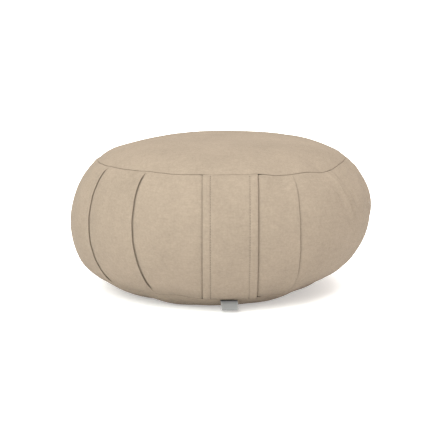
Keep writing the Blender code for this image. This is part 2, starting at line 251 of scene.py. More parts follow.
# Creases in the cloth: soft ridges, or furrows where the height is negative
CREASES = (
    # azimuth deg, level, turn from upright deg, half-length mm, half-width mm, height mm
    (-38.5, 1.45, 8, 52, 3.0, -0.35),
    (-41.5, 1.42, 8, 55, 3.5, 0.35),
    (-19.0, 1.12, -52, 8, 2.4, 0.40),
    (-23.5, 1.10, -48, 7, 2.0, -0.35),
    (-27.5, 1.09, -35, 8, 2.4, 0.35),
    (20.0, 1.55, 2, 45, 3.2, 0.30),
    (23.5, 1.50, 2, 50, 3.0, -0.30),
    (27.0, 1.60, 0, 40, 2.8, 0.30),
    (37.5, 1.70, -6, 30, 3.2, 0.40),
    (41.5, 1.66, -5, 34, 3.4, -0.40),
    (45.5, 1.62, -6, 30, 3.4, 0.35),
    (33.0, 1.12, 16, 14, 3.0, 0.45),
    (36.5, 1.07, 20, 10, 2.4, -0.40),
    (12.0, 2.045, 88, 18, 2.6, 0.35),
    (17.0, 2.085, 84, 14, 2.6, -0.30),
    (41.0, 2.050, 82, 14, 2.6, 0.40),
    (44.0, 2.090, 80, 12, 2.6, -0.30),
    (51.4, 1.82, -14, 30, 3.2, -1.00),
    (54.6, 1.80, -14, 46, 1.7, 1.60),
    (56.3, 1.80, -14, 44, 1.2, -1.10),
    (57.9, 1.80, -14, 40, 1.6, 1.40),
    (60.4, 1.80, -14, 34, 2.8, -1.20),
    (-58.0, 1.93, 30, 7, 2.0, 0.40),
    (-34.0, 1.94, 25, 7, 2.0, 0.40),
)
TUCKS_BESIDE_PLEAT = (
    # across mm, share from the seam, turn from upright deg, half-length mm, half-width mm, height mm
    (-7.0, 0.045, 14, 9, 2.2, -0.35),
    (-12.0, 0.035, 22, 7, 2.4, 0.30),
    (6.0, 0.040, -16, 9, 2.2, 0.35),
    (11.0, 0.030, -24, 7, 2.4, -0.25),
)

# The tucks' strength varies from pleat to pleat with a sine
TUCK_UNEVENNESS = 0.3
TUCK_STEP = 2.4
CREASE_RADIUS = TOP_SEAM_RADIUS + BULGE / 2

# Rows and columns of the meshes
BAND_ROWS = 150
CROWDED_ENDS = 0.115
GORE_COLUMNS = 28
GORE_CROWDING = 1.25
NOSE_COLUMNS = 9
GAP_COLUMNS = 3
BEHIND_PANEL_COLUMNS = 4
DISC_COLUMNS = 300
DISC_ROWS = 88
DISC_CROWDING = 1.5
DISC_EDGE_ROWS = 5
PANEL_ROWS = 300
PANEL_HEM_COLUMNS = 12
PANEL_STITCH_COLUMNS = 14
PANEL_MIDDLE_COLUMNS = 26
PANEL_NOSE_COLUMNS = 9
PANEL_END_ROWS = 5
PANEL_BACK_COLUMNS = 5
PANEL_RUN_STEPS = 4 * PANEL_ROWS
PANEL_END_CLEAR = 1.5
GORES_APART_IN_WEAVE = 1.37
PANEL_APART_IN_WEAVE = 0.4
STITCH_RINGS = 9
STITCH_SIDES = 6
RIBBON_COLUMNS = 25
RIBBON_ROWS = 14
RIBBON_FOLD_ROWS = 14
TOP_OF_BAND = 2 - 1e-6
SLOPE_STEP = 1e-4
CROSSING_ROUNDS = 6

# Body that is filled by the cloth simulation
FILL_COLUMNS = 234
FILL_BOTTOM_ROWS = 8
FILL_BAND_ROWS = 44
FILL_TOP_ROWS = 18
FILL_FROM_RESTING = 0.8
FILL_TO_LEVEL = 2.92
FILL_FRAMES = 20
FILL_SPARE_CLOTH = 0.012
FILL_CLOTH = {
    "quality": 6,
    "mass": 0.25,
    "tension_stiffness": 30,
    "compression_stiffness": 20,
    "shear_stiffness": 10,
    "bending_stiffness": 0.8,
    "tension_damping": 12,
    "compression_damping": 12,
    "use_pressure": True,
    "shrink_min": -FILL_SPARE_CLOTH,
}
FOLD_HOLD_WIDTH = math.radians(1.6)
SEAM_HOLD_WIDTH = 0.02
FOLD_HOLD = 0.30
SEAM_HOLD = 0.35
PLEAT_END_HOLD = 0.6
HOLD_STEPS = 20
SMOOTHING_ROUNDS = 2
LONG_WAVES = 6
TOP_CALM = 0.75
TOP_CALM_REACH = 0.12

# Soft blots in the finishes: across mm, along mm, detail, offset, weight
CANVAS_MOTTLES = (
    (9.0, 6.0, 3.0, 3.1, 1.0),
    (3.2, 2.4, 2.0, 9.2, 1.5),
)
CANVAS_CLOUDS = ((55.0, 55.0, 2.0, 11.7, 1.0),)
CANVAS_SLACK = ((16.0, 45.0, 2.0, 5.9, 1.0), (7.0, 12.0, 2.0, 2.2, 0.35))
THREAD_FIBRES = ((0.6, 0.2, 2.0, 0.0, 1.0),)
RIBBON_WEFT = ((6.0, 0.4, 2.0, 0.0, 1.0), (4.0, 3.0, 2.0, 4.4, 1.0))

# Threads of the finishes: their sizes, and how much they change tone,
# roughness and height
YARN_THICK = 0.8
YARN_LONG = 0.02
YARN_DETAIL = 3.0
WEFT_OFFSET = 7.3
YARN_TONE = 2.2
CLOUD_TONE = 1.2
CANVAS_ROUGHNESS = 0.9
YARN_ROUGHNESS = 0.12
CANVAS_SPECULAR = 0.08
THREAD_HEIGHT = 0.75
YARN_HEIGHT = 0.8
STRAND_PITCH = 0.9 * MM
STRAND_SLANT = 1.6
STRAND_RELIEF = 0.06 * MM
THREAD_TONE = 0.94
STRAND_TONE = 0.06
FIBRE_TONE = 0.2
THREAD_ROUGHNESS = 0.62
FIBRE_ROUGHNESS = 0.2
FLOAT_PITCH = 0.35 * MM
RIB_PITCH = 0.7 * MM
BORDER_WIDTH = 1.4 * MM
SATIN_RELIEF = 0.05 * MM
FLOAT_TONE = 0.03
WEFT_TONE = 0.14
RIB_TONE = 0.05
SATIN_ROUGHNESS = 0.42
WEFT_ROUGHNESS = 0.2
BORDER_ROUGHNESS = 0.12
FLOAT_HEIGHT = 0.3
RIB_HEIGHT = 0.5
WEFT_HEIGHT = 0.5
# Painted shade on the ribbon tab, by distance along it from the seam: a painted shadow in the slit, then
# painted shade under the band's overhang
RIBBON_PAINTED_SHADE = (
    # from mm, to mm, tone
    (1.0, 2.0, 0.06),
    (1.0, 6.5, 0.62),
)

# Stage
FLOOR_POINTS = 9
LAMP_DISTANCE = 3
SENSOR_WIDTH = 36
NEAREST_SEEN = 0.05
FURTHEST_SEEN = 60


def smooth(share):
    """Cubic ease from 0 at 0 to 1 at 1: three times the square less twice the cube."""
    share = np.clip(share, 0, 1)
    return share * share * (3 - 2 * share)


def eased(table, azimuth):
    """Value of a periodic table of (degrees, value) at an azimuth, eased between its rows."""
    degrees = np.array([row[0] for row in table], float)
    values = np.array([row[1] for row in table], float)
    degrees = np.concatenate([degrees, [degrees[0] + 360]])
    values = np.concatenate([values, [values[0]]])
    place = (np.degrees(azimuth) - degrees[0]) % 360 + degrees[0]
    row = np.clip(np.searchsorted(degrees, place, side="right") - 1, 0, len(degrees) - 2)
    share = (place - degrees[row]) / (degrees[row + 1] - degrees[row])
    return values[row] + (values[row + 1] - values[row]) * smooth(share)


def near_seam(level, seam):
    """1 at a seam, eased to 0 at the reach from it."""
    return smooth(1 - np.abs(level - seam) / SEAM_REACH)


def seam_rise(azimuth, level):
    """Height added near the two seams, from their tables."""
    top = eased(TOP_SEAM_RISE, azimuth) * near_seam(level, 2)
    return MM * (top + eased(BOTTOM_SEAM_RISE, azimuth) * near_seam(level, 1))


def clear_of_floor(level):
    """0 where the cushion rests, eased to 1 beside it."""
    return smooth((level - RESTING_RADIUS / BOTTOM_SEAM_RADIUS) / CLEAR_OF_FLOOR)


def settled(azimuth, level):
    """Swelling of the settled fill: a sum of bell curves, and none where the cushion rests."""
    swelling = np.zeros(level.shape)
    for _, place, place_up, width, width_up, amount in SETTLED:
        around = (np.degrees(azimuth) - place + 180) % 360 - 180
        bell = np.exp(-((around / width) ** 2) - ((level - place_up) / width_up) ** 2)
        swelling = swelling + amount * MM * bell
    return swelling * clear_of_floor(level)


def resting_radius(azimuth):
    """Radius of the flat resting face, which reaches further out at the front, where the fill has settled."""
    front = (np.cos(azimuth - RESTING_FRONT_AZIMUTH) - RESTING_FRONT_FROM) / RESTING_FRONT_OVER
    return RESTING_RADIUS + RESTING_TO_FRONT * smooth(front)


def skin(azimuth, level):
    """Point of the plain skin.

    The bottom panel is flat out to the resting radius and then rises with the
    square of the distance. The band is an arc that bulges out between the two
    seams, and on the left it has slumped: fuller low down, slimmer high up.
    The top panel falls from the crown with a power of the distance. The seams
    rise and fall by their tables, the whole leans a little towards +X with its
    height, and the settled fill moves the skin along the normal of a
    flattened ball.
    """
    azimuth, level = np.broadcast_arrays(np.asarray(azimuth, float), np.asarray(level, float))
    across = np.sin(azimuth)
    band = np.clip(level - 1, 0, 1)
    slant = np.arcsin((2 * band - 1) * math.sin(BULGE_HALF_ARC))
    bump = (np.cos(slant) - math.cos(BULGE_HALF_ARC)) / (1 - math.cos(BULGE_HALF_ARC))
    radius = BOTTOM_SEAM_RADIUS + (TOP_SEAM_RADIUS - BOTTOM_SEAM_RADIUS) * band
    radius = radius + (BULGE + BULGE_TO_RIGHT * across) * bump
    radius = radius + SLUMP_TO_LEFT * np.clip(-across, 0, 1) ** 2 * np.sin(TURN * band)
    z = BOTTOM_SEAM_HEIGHT + (TOP_SEAM_HEIGHT - BOTTOM_SEAM_HEIGHT) * band
    z = z - BULGE_DROP_TO_RIGHT * across * bump

    out = np.clip(level, 0, 1)
    resting = resting_radius(azimuth) / BOTTOM_SEAM_RADIUS
    rise = np.clip((out - resting) / (1 - resting), 0, 1) ** 2
    below = level < 1
    radius = np.where(below, BOTTOM_SEAM_RADIUS * out, radius)
    z = np.where(below, BOTTOM_SEAM_HEIGHT * rise, z)

    out = np.clip(3 - level, 0, 1)
    above = level > 2
    radius = np.where(above, TOP_SEAM_RADIUS * out, radius)
    z = np.where(above, HEIGHT - (HEIGHT - TOP_SEAM_HEIGHT) * out**CROWN_POWER, z)

    z = z + seam_rise(azimuth, level) * np.where(below, rise, 1)
    radius = radius + MM * eased(TOP_SEAM_SHIFT, azimuth) * near_seam(level, 2)
    lean = LEAN * (z / HEIGHT - 0.5)
    swelling = settled(azimuth, level)
    flatness = radius / FULL_RADIUS**2, (z - HEIGHT / 2) / (HEIGHT / 2) ** 2
    steepness = np.hypot(*flatness)
    radius = radius + swelling * flatness[0] / steepness
    z = z + swelling * flatness[1] / steepness
    return np.stack([radius * across + lean, -radius * np.cos(azimuth), z], axis=-1)


def outward(azimuth, level):
    """Unit normal of the plain skin: the cross product of its slopes along azimuth and level."""
    level = np.asarray(level, float)
    low = np.where(np.isin(level, (0, 1, 2)), level, level - SLOPE_STEP)
    around = skin(azimuth + SLOPE_STEP, level) - skin(azimuth - SLOPE_STEP, level)
    upwards = skin(azimuth, level + SLOPE_STEP) - skin(azimuth, low)
    normal = np.cross(around, upwards)
    return normal / np.linalg.norm(normal, axis=-1, keepdims=True)


def lifted(azimuth, level, lift):
    """Point at a lift from the plain skin, along its normal."""
    azimuth, level, lift = np.broadcast_arrays(azimuth, level, lift)
    return skin(azimuth, level) + lift[..., None] * outward(azimuth, level)


def metres_per_radian(azimuth, level):
    """Length of the skin along the azimuth for one radian, from a small step each way."""
    step = skin(azimuth + SLOPE_STEP, level) - skin(azimuth - SLOPE_STEP, level)
    return np.linalg.norm(step, axis=-1) / (2 * SLOPE_STEP)


def fold_azimuth(pleat, share):
    """Azimuth of a pleat's edge at a share of the band's height: a parabola through its three places."""
    top, middle, bottom = pleat[:3]
    slope = 4 * middle - top - 3 * bottom
    curve = 2 * (top + bottom - 2 * middle)
    return np.radians(bottom + slope * share + curve * share**2)


def azimuth_at(x, share):
    """Azimuth at which the front of the band crosses a plane of constant x, by repeated correction."""
    x, share = np.broadcast_arrays(np.asarray(x, float), np.asarray(share, float))
    azimuth = np.zeros(x.shape)
    for _ in range(CROSSING_ROUNDS):
        point = skin(azimuth, 1 + share)
        radius = -point[..., 1] / np.cos(azimuth)
        azimuth = np.arcsin((x - point[..., 0] + radius * np.sin(azimuth)) / radius)
    return azimuth


def fade(share, width):
    """0 at both seams and 1 further than the width from them, eased."""
    return smooth(np.minimum(share, 1 - share) / width)


def opening(share):
    """How far a pleat's gap is open: shut where it is sewn, and wholly open beyond the fades."""
    return smooth((share - SEWN_FROM) / GAP_FADE_BOTTOM) * smooth((1 - share) / GAP_FADE_TOP)


def seam_edge(distance):
    """Lift near a seam: a quarter circle where the cloth turns in, and a soft dip beside it."""
    inside = np.clip(1 - distance / EDGE_TURN, 0, 1)
    turned = EDGE_TURN * (np.sqrt(1 - inside**2) - 1)
    return turned - SEAM_DIP * np.exp(-((distance / SEAM_DIP_REACH) ** 2))


def between_lift(part, share):
    """Lift between two folds: the cloth puffs out halfway up and is flattened at the seams."""
    puffed = PUFF * np.sin(math.pi * share) - FLAT_SPOT * np.cos(math.pi * share) ** 2
    return puffed * np.sin(math.pi * part) ** 2


def anchors(share):
    """Azimuths of the folds, from the closure panel's right edge once round to its left one."""
    folds = [fold_azimuth(pleat, share) for pleat in PLEATS]
    return [azimuth_at(PANEL_RIGHT, share)] + folds + [azimuth_at(PANEL_LEFT, share) + TURN]


def flat_spot(azimuth, out, top):
    """Lift of a round panel near its seam: flattened between folds as the band is."""
    folds = [float(place) for place in anchors(1.0 if top else 0.0)]
    place = (azimuth - folds[0]) % TURN + folds[0]
    phase = np.interp(place, folds, range(len(folds)))
    flat = -FLAT_SPOT * np.sin(math.pi * phase) ** 2 * np.clip((out - FLAT_FROM) / (1 - FLAT_FROM), 0, None)
    return np.where(place > folds[-1], 0, flat)


def all_creases():
    """Rows of the crease table, with the small tucks beside both ends of every pleat."""
    rows = [tuple(map(float, row)) for row in CREASES]
    for k, pleat in enumerate(PLEATS):
        for end, sign in ((0.0, 1), (1.0, -1)):
            edge = math.degrees(float(fold_azimuth(pleat, end)))
            radius = TOP_SEAM_RADIUS if end else BOTTOM_SEAM_RADIUS
            for across, share_in, turn, length, width, height in TUCKS_BESIDE_PLEAT:
                strength = 1 - TUCK_UNEVENNESS * (1 - math.sin(TUCK_STEP * k + across))
                place = edge + math.degrees(across * MM / radius)
                rows.append((place, 1 + end + sign * share_in, sign * turn, length, width, strength * height))
    return rows


def crease_lift(azimuth, level):
    """Sum of the creases: each is a bell curve across its line times a bell curve along it."""
    lift = np.zeros(np.broadcast(azimuth, level).shape)
    for place, height_on, turn, length, width, height in all_creases():
        from_line = (azimuth - math.radians(place) + math.pi) % TURN - math.pi
        right = from_line * CREASE_RADIUS
        up = (level - height_on) * np.where(level > 2, TOP_SEAM_RADIUS, BAND_LENGTH)
        cos, sin = math.cos(math.radians(turn)), math.sin(math.radians(turn))
        across = (right * cos - up * sin) / (width * MM)
        along = (right * sin + up * cos) / (length * MM)
        lift = lift + height * MM * np.exp(-(across**2) - along**2)
    return lift


class FilledCover:
    """Lifts that the cloth simulation of the filled cover gives, on a grid of azimuth and level."""

    levels = None
    lifts = None

    @classmethod
    def lift(cls, azimuth, level):
        """Lift at an azimuth and level, linear between the grid's points, and none before the simulation."""
        if cls.lifts is None:
            return np.zeros(np.broadcast(azimuth, level).shape)
        columns = cls.lifts.shape[1]
        column = (azimuth / TURN * columns) % columns
        row = np.interp(level, cls.levels, np.arange(len(cls.levels)))
        left = np.floor(column).astype(int) % columns
        right = (left + 1) % columns
        low = np.minimum(np.floor(row).astype(int), len(cls.levels) - 2)
        part, rise = column % 1, row - low
        lower = cls.lifts[low, left] * (1 - part) + cls.lifts[low, right] * part
        upper = cls.lifts[low + 1, left] * (1 - part) + cls.lifts[low + 1, right] * part
        return lower * (1 - rise) + upper * rise


def relief(azimuth, level):
    """Lift of everything that the skin's plain form leaves out: the fill's swelling and the creases."""
    azimuth, level = np.broadcast_arrays(np.asarray(azimuth, float), np.asarray(level, float))
    calmed = 1 - TOP_CALM * smooth((level - 2) / TOP_CALM_REACH)
    return (FilledCover.lift(azimuth, level) * calmed + crease_lift(azimuth, level)) * clear_of_floor(level)


def swell_direction(azimuth, level):
    """Unit direction out of a flattened ball about the cushion's middle, the same on both sides of a seam."""
    point = skin(azimuth, level)
    x = point[..., 0] - LEAN * (point[..., 2] / HEIGHT - 0.5)
    z = point[..., 2] - HEIGHT / 2
    direction = np.stack([x / FULL_RADIUS**2, point[..., 1] / FULL_RADIUS**2, z / (HEIGHT / 2) ** 2], axis=-1)
    return direction / np.linalg.norm(direction, axis=-1, keepdims=True)


def relief_shift(azimuth, level):
    """Shift of the skin by its relief, out of the flattened ball."""
    return relief(azimuth, level)[..., None] * swell_direction(azimuth, level)


def cloth_point(azimuth, level, lift):
    """Point of the finished cloth: the skin, its relief and the lift, kept above the floor."""
    point = lifted(azimuth, level, lift) + relief_shift(azimuth, level)
    point[..., 2] = np.maximum(point[..., 2], 0)
    return point


def run_along(points):
    """Distance along paths of points from their first ones, down the first axis."""
    steps = np.linalg.norm(np.diff(points, axis=0), axis=-1)
    return np.concatenate([np.zeros((1, *steps.shape[1:])), np.cumsum(steps, axis=0)])


def grid_quads(rows, columns, closed):
    """Quads between the points of a grid, row by row, which goes round once when closed."""
    start = np.arange(rows - 1)[:, None] * columns
    left = np.arange(columns if closed else columns - 1)[None, :]
    right = (left + 1) % columns
    quads = np.stack([start + left, start + right, start + columns + right, start + columns + left], axis=-1)
    return quads.reshape(-1, 4)


def fan_triangles(pole, start, columns, upwards):
    """Triangles from a pole to a closed ring of points."""
    a = start + np.arange(columns)
    b = start + (np.arange(columns) + 1) % columns
    ring = (a, b) if upwards else (b, a)
    return np.stack([*ring, np.full(columns, pole)], axis=-1)


def tube_faces(rows, columns):
    """Quads round a tube of closed rings, and the triangles to its two poles, which come after its points."""
    low = fan_triangles(rows * columns, 0, columns, upwards=False)
    high = fan_triangles(rows * columns + 1, (rows - 1) * columns, columns, upwards=True)
    return grid_quads(rows, columns, True), np.concatenate([low, high])


def add_piece(name, points, quads, triangles, uv, finish):
    """Object of one smooth mesh, with the cloth's flat places in metres as its UV map."""
    mesh = bpy.data.meshes.new(name)
    corners = np.concatenate([quads.ravel(), triangles.ravel()]).astype(np.int32)
    starts = np.concatenate([4 * np.arange(len(quads)), 4 * len(quads) + 3 * np.arange(len(triangles))])
    mesh.vertices.add(len(points))
    mesh.vertices.foreach_set("co", points.astype(np.float32).ravel())
    mesh.loops.add(len(corners))
    mesh.loops.foreach_set("vertex_index", corners)
    mesh.polygons.add(len(starts))
    mesh.polygons.foreach_set("loop_start", starts.astype(np.int32))
    mesh.update(calc_edges=True)
    layer = mesh.uv_layers.new(name="weave")
    layer.uv.foreach_set("vector", uv[corners].astype(np.float32).ravel())
    mesh.validate()
    mesh.shade_smooth()
    mesh.materials.append(finish)
    piece = bpy.data.objects.new(name, mesh)
    bpy.context.scene.collection.objects.link(piece)
    return piece


def thickened(piece, thickness, offset):
    """Piece of cloth from a thin surface: the thickness goes inwards at offset -1, and both ways at 0."""
    wall = piece.modifiers.new("cloth", "SOLIDIFY")
    wall.thickness = thickness
    wall.offset = offset
    return piece


NO_TRIANGLES = np.zeros((0, 3), int)


def fold_section(pleat, share, nose_radius):
    """Across and lift of a knife fold at each share of the height.

    The section is half a circle round the nose, a line back under it to the
    bottom of the gap, and a line out along the lower layer. Near the seams
    the gap closes and the layers lie flat on each other.
    """
    share = share[:, None]
    opened = opening(share)
    nose = nose_radius * (NOSE_WHERE_CLOSED + (1 - NOSE_WHERE_CLOSED) * opened)
    stood = smooth((share - SEWN_FROM) / PLEAT_FADE) * smooth((1 - share) / PLEAT_FADE)
    top = SEWN_STEP * (STEP_AT_SEAM + (1 - STEP_AT_SEAM) * stood) + pleat[3] * MM * stood
    bottom = -pleat[4] * MM * stood
    turn = np.linspace(math.pi / 2, -math.pi / 2, NOSE_COLUMNS)[None, :]
    part = np.linspace(0, 1, GAP_COLUMNS + 1)[None, 1:]
    under = top - 2 * nose
    back = np.maximum(GAP_DEPTH * opened, nose)
    in_gap = -nose - (back - nose) * part
    out_again = -back + (back + LOWER_LAYER_OUT) * part
    across = [nose * (np.cos(turn) - 1), in_gap, out_again]
    gap_lift = under + (bottom - under) * part**GAP_CURVE
    lift = [top - nose + nose * np.sin(turn), gap_lift, bottom + 0 * part]
    return np.concatenate(across, axis=1), np.concatenate(lift, axis=1)


def beside_panel(distance, dip):
    """Lift of the band beside the closure panel: deep under its edge, then a soft dip that dies away."""
    under_edge = (PANEL_RECESS - PANEL_CLEARANCE) * np.exp(-((distance / PANEL_EDGE_REACH) ** 2))
    return -under_edge - dip * np.exp(-distance / DIP_REACH)


def band_grid(share, nose_radius):
    """Azimuths, lifts and gore numbers of the band's cloth, round from the panel's middle."""
    places = [np.asarray(place)[:, None] for place in anchors(share)]
    level = 1 + share[:, None]
    scales = [metres_per_radian(place, level) for place in places]
    folds = [fold_section(pleat, share, nose_radius) for pleat in PLEATS]
    middle = (places[0] + places[-1] - TURN) / 2
    inwards = np.linspace(0, 1, BEHIND_PANEL_COLUMNS)[None, :]
    azimuths = [middle + (places[0] - middle) * inwards]
    lifts = [np.full((len(share), BEHIND_PANEL_COLUMNS), -PANEL_RECESS)]
    gores = [np.zeros(BEHIND_PANEL_COLUMNS, int)]
    even = np.arange(1, GORE_COLUMNS + 1) / (GORE_COLUMNS + 1)
    part = (0.5 - 0.5 * np.cos(math.pi * even**GORE_CROWDING))[None, :]
    for gore in range(len(PLEATS) + 1):
        first, last = gore == 0, gore == len(PLEATS)
        start, end = places[gore], places[gore + 1]
        if not first:
            start = start + folds[gore - 1][0][:, -1:] / scales[gore]
        if not last:
            end = end + folds[gore][0][:, :1] / scales[gore + 1]
        azimuth = start + (end - start) * part
        scale = (scales[gore] + scales[gore + 1]) / 2
        from_start, from_end = (azimuth - start) * scale, (end - azimuth) * scale
        lift = between_lift(part, share[:, None])
        if first:
            lift = lift + beside_panel(from_start, DIP_RIGHT_OF_PANEL)
        else:
            lift = lift + folds[gore - 1][1][:, -1:] * np.exp(-from_start / DROP_REACH)
        if last:
            lift = lift + beside_panel(from_end, DIP_LEFT_OF_PANEL)
        else:
            lift = lift + folds[gore][1][:, :1] * (1 - smooth(from_end / LIP_REACH))
        azimuths.append(azimuth)
        lifts.append(lift)
        gores.append(np.full(GORE_COLUMNS, gore))
        if not last:
            across, fold_lift = folds[gore]
            azimuths.append(places[gore + 1] + across / scales[gore + 1])
            lifts.append(fold_lift)
            upper_layer = NOSE_COLUMNS + GAP_COLUMNS
            gores.append(np.array([gore] * upper_layer + [gore + 1] * GAP_COLUMNS))
    azimuths.append(middle + TURN + (places[-1] - middle - TURN) * inwards[:, :0:-1])
    lifts.append(np.full((len(share), BEHIND_PANEL_COLUMNS - 1), -PANEL_RECESS))
    gores.append(np.full(BEHIND_PANEL_COLUMNS - 1, len(PLEATS)))
    return np.concatenate(azimuths, axis=1), np.concatenate(lifts, axis=1), np.concatenate(gores)


def band_uv(points, gores):
    """Flat places of the band's cloth: distances along a row from the gore's middle, and up it."""
    run = run_along(points.swapaxes(0, 1)).T
    centres = np.array([int(np.median(np.nonzero(gores == gore)[0])) for gore in range(gores.max() + 1)])
    gore_pitch = TURN * (TOP_SEAM_RADIUS + BULGE) / len(centres)
    u = run - run[:, centres[gores]] + gores * gore_pitch * GORES_APART_IN_WEAVE
    return np.stack([u, run_along(points)[:, centres[gores]]], axis=-1)


def side_band(finish, nose_radius):
    """Filled band: one cloth that goes round in gores and knife folds, closed under the two round panels."""
    even = np.linspace(0, 1, BAND_ROWS)
    share = even - CROWDED_ENDS * np.sin(TURN * even)
    azimuth, lift, gores = band_grid(share, nose_radius)
    level = np.minimum(1 + share, TOP_OF_BAND)[:, None]
    seam = seam_edge(np.minimum(share, 1 - share)[:, None] * BAND_LENGTH)
    cloth = cloth_point(azimuth, level, lift + seam)
    uv = band_uv(cloth, gores)
    sunk = np.full(azimuth.shape[1], -UNDER_PANELS)
    low = lifted(azimuth[0], 1 - BAND_INSET / BOTTOM_SEAM_RADIUS, sunk)
    high = lifted(azimuth[-1], 2 + BAND_INSET / TOP_SEAM_RADIUS, sunk)
    poles = np.array([(-LEAN / 2, 0, UNDER_PANELS), (LEAN / 2, 0, HEIGHT - UNDER_CROWN)])
    points = np.concatenate([low, cloth.reshape(-1, 3), high, poles])
    flat = np.concatenate([uv[0], uv.reshape(-1, 2), uv[-1], np.zeros((2, 2))])
    return add_piece("side_band_cloth", points, *tube_faces(len(share) + 2, len(sunk)), flat, finish)


def round_panel(name, top, finish, thickness):
    """Round panel of cloth: rings from its middle to its turned edge, thickened inwards."""
    radius = TOP_SEAM_RADIUS if top else BOTTOM_SEAM_RADIUS
    edge = 1 - SEAM_HALF_GAP / radius
    turn = EDGE_TURN / radius
    part = np.arange(1, DISC_ROWS + 1) / DISC_ROWS
    quarter = 0.5 * math.pi * np.arange(1, DISC_EDGE_ROWS + 1) / DISC_EDGE_ROWS
    inner = (1 - (1 - part) ** DISC_CROWDING) * (edge - turn)
    out = np.concatenate([inner, edge - turn * (1 - np.sin(quarter))])[:, None]
    azimuth = (np.arange(DISC_COLUMNS) * TURN / DISC_COLUMNS)[None, :]
    level = 3 - out if top else out
    lift = seam_edge((edge - out) * radius) + flat_spot(azimuth, out, top)
    cloth = cloth_point(azimuth, level, lift)
    middle = np.array([[LEAN / 2, 0, HEIGHT]]) if top else np.array([[-LEAN / 2, 0, 0]])
    spokes = np.concatenate([np.repeat(middle[None], DISC_COLUMNS, axis=1), cloth])
    run = run_along(spokes)[1:].mean(axis=1, keepdims=True)
    uv = np.stack([run * np.sin(azimuth), -run * np.cos(azimuth)], axis=-1)
    rows = len(out)
    quads = grid_quads(rows, DISC_COLUMNS, True)
    if top:
        quads = quads[:, ::-1]
    triangles = fan_triangles(rows * DISC_COLUMNS, 0, DISC_COLUMNS, upwards=top)
    points = np.concatenate([cloth.reshape(-1, 3), middle])
    flat = np.concatenate([uv.reshape(-1, 2), np.zeros((1, 2))])
    return thickened(add_piece(name, points, quads, triangles, flat, finish), thickness, -1)


def panel_columns():
    """Places of the closure panel's columns across it, close together at folds and stitches."""
    left, right = STITCH_LINES
    groove = 2 * STITCH_GROOVE
    places = (PANEL_FACE, left - groove, left + groove, right - groove, right + groove)
    counts = (PANEL_HEM_COLUMNS, PANEL_STITCH_COLUMNS, PANEL_MIDDLE_COLUMNS, PANEL_STITCH_COLUMNS)
    spans = [np.linspace(a, b, count, endpoint=False) for a, b, count in zip(places, places[1:], counts)]
    return np.concatenate([*spans, np.linspace(places[-1], PANEL_WIDTH - PANEL_FACE, PANEL_HEM_COLUMNS)])


def panel_run(x, share):
    """Distance up the closure panel from the bottom seam at a constant x, and its whole length."""
    fine = np.linspace(0, 1, PANEL_RUN_STEPS)
    path = lifted(azimuth_at(x, fine), np.minimum(1 + fine, TOP_OF_BAND), np.full(fine.shape, PANEL_FACE))
    run = run_along(path)
    return np.interp(share, fine, run), run[-1]


def stitch_groove(across, run, pitch):
    """Depth of the two stitched grooves: a bell curve across each, deepest at the needle holes."""
    bell = sum(np.exp(-(((across - line) / STITCH_GROOVE) ** 2)) for line in STITCH_LINES)
    return -STITCH_SINK * bell * (1 - NEEDLE_HOLES + NEEDLE_HOLES * np.cos(TURN * run / pitch))


def hem_puff(across):
    """Lift of the doubled cloth between each folded edge and its stitches: half a sine wave on a low step."""
    left = np.clip(across / STITCHES_IN_LEFT, 0, 1)
    right = np.clip((PANEL_WIDTH - across) / STITCHES_IN_RIGHT, 0, 1)
    puff = HEM_PUFF * (np.sin(math.pi * left) + np.sin(math.pi * right))
    return puff + HEM_STEP * ((left < 1) | (right < 1))


def closure_panel(finish, pitch):
    """Strip over the closure: a closed section with two rounded folded edges, carried up the band.

    The face puffs between each folded edge and its stitches, the stitches lie
    in grooves, and both ends are pressed flat where they are sewn in.
    """
    radius = (PANEL_FACE + PANEL_BACK) / 2
    turn = np.linspace(math.pi * 1.5, math.pi / 2, PANEL_NOSE_COLUMNS)[:-1]
    left_nose = radius * (1 + np.cos(turn))
    face = panel_columns()
    back = np.linspace(PANEL_WIDTH - radius, radius, PANEL_BACK_COLUMNS)[1:-1]
    across = np.concatenate([left_nose, face, (PANEL_WIDTH - left_nose)[::-1], back])[None, :]
    even = np.linspace(0, 1, PANEL_ROWS)[1:-1]
    quarter = 0.5 * math.pi * np.arange(PANEL_END_ROWS) / PANEL_END_ROWS
    edge = (SEAM_HALF_GAP + EDGE_TURN * (1 - np.cos(quarter))) / BAND_LENGTH
    clear = edge[-1] * PANEL_END_CLEAR
    share = np.concatenate([edge, even[(even > clear) & (even < 1 - clear)], 1 - edge[::-1]])
    run, _ = panel_run(PANEL_MIDDLE, share)
    run = run[:, None]
    share = share[:, None]
    face_lift = PANEL_FACE + hem_puff(face) * fade(share, HEM_FADE) + stitch_groove(face, run, pitch)
    nose_lift = np.broadcast_to(radius * np.sin(turn), (len(share), len(turn)))
    back_lift = np.full((len(share), len(back)), -PANEL_BACK)
    lift = np.concatenate([nose_lift, face_lift, nose_lift[:, ::-1], back_lift], axis=1)
    from_seam = np.minimum(share, 1 - share) * BAND_LENGTH
    pressed = PANEL_SEWN_FLAT / (PANEL_FACE + PANEL_BACK) * np.exp(-((from_seam / PANEL_SEWN_REACH) ** 2))
    lift = lift - (lift + PANEL_BACK) * pressed
    level = np.minimum(1 + share, TOP_OF_BAND)
    on_edge = azimuth_at(PANEL_LEFT + np.clip(across, 0, PANEL_WIDTH), share)
    points = lifted(azimuth_at(PANEL_LEFT + across, share), level, lift + seam_edge(from_seam))
    points = points + relief_shift(on_edge, level)
    uv = np.stack(np.broadcast_arrays(across + PANEL_APART_IN_WEAVE, run), axis=-1).reshape(-1, 2)
    ends = [points[0].mean(axis=0), points[-1].mean(axis=0)]
    flat = np.concatenate([uv, uv[:1], uv[-1:]])
    faces = tube_faces(len(share), across.shape[1])
    points = np.concatenate([points.reshape(-1, 3), ends])
    return add_piece("closure_panel_cloth", points, *faces, flat, finish)


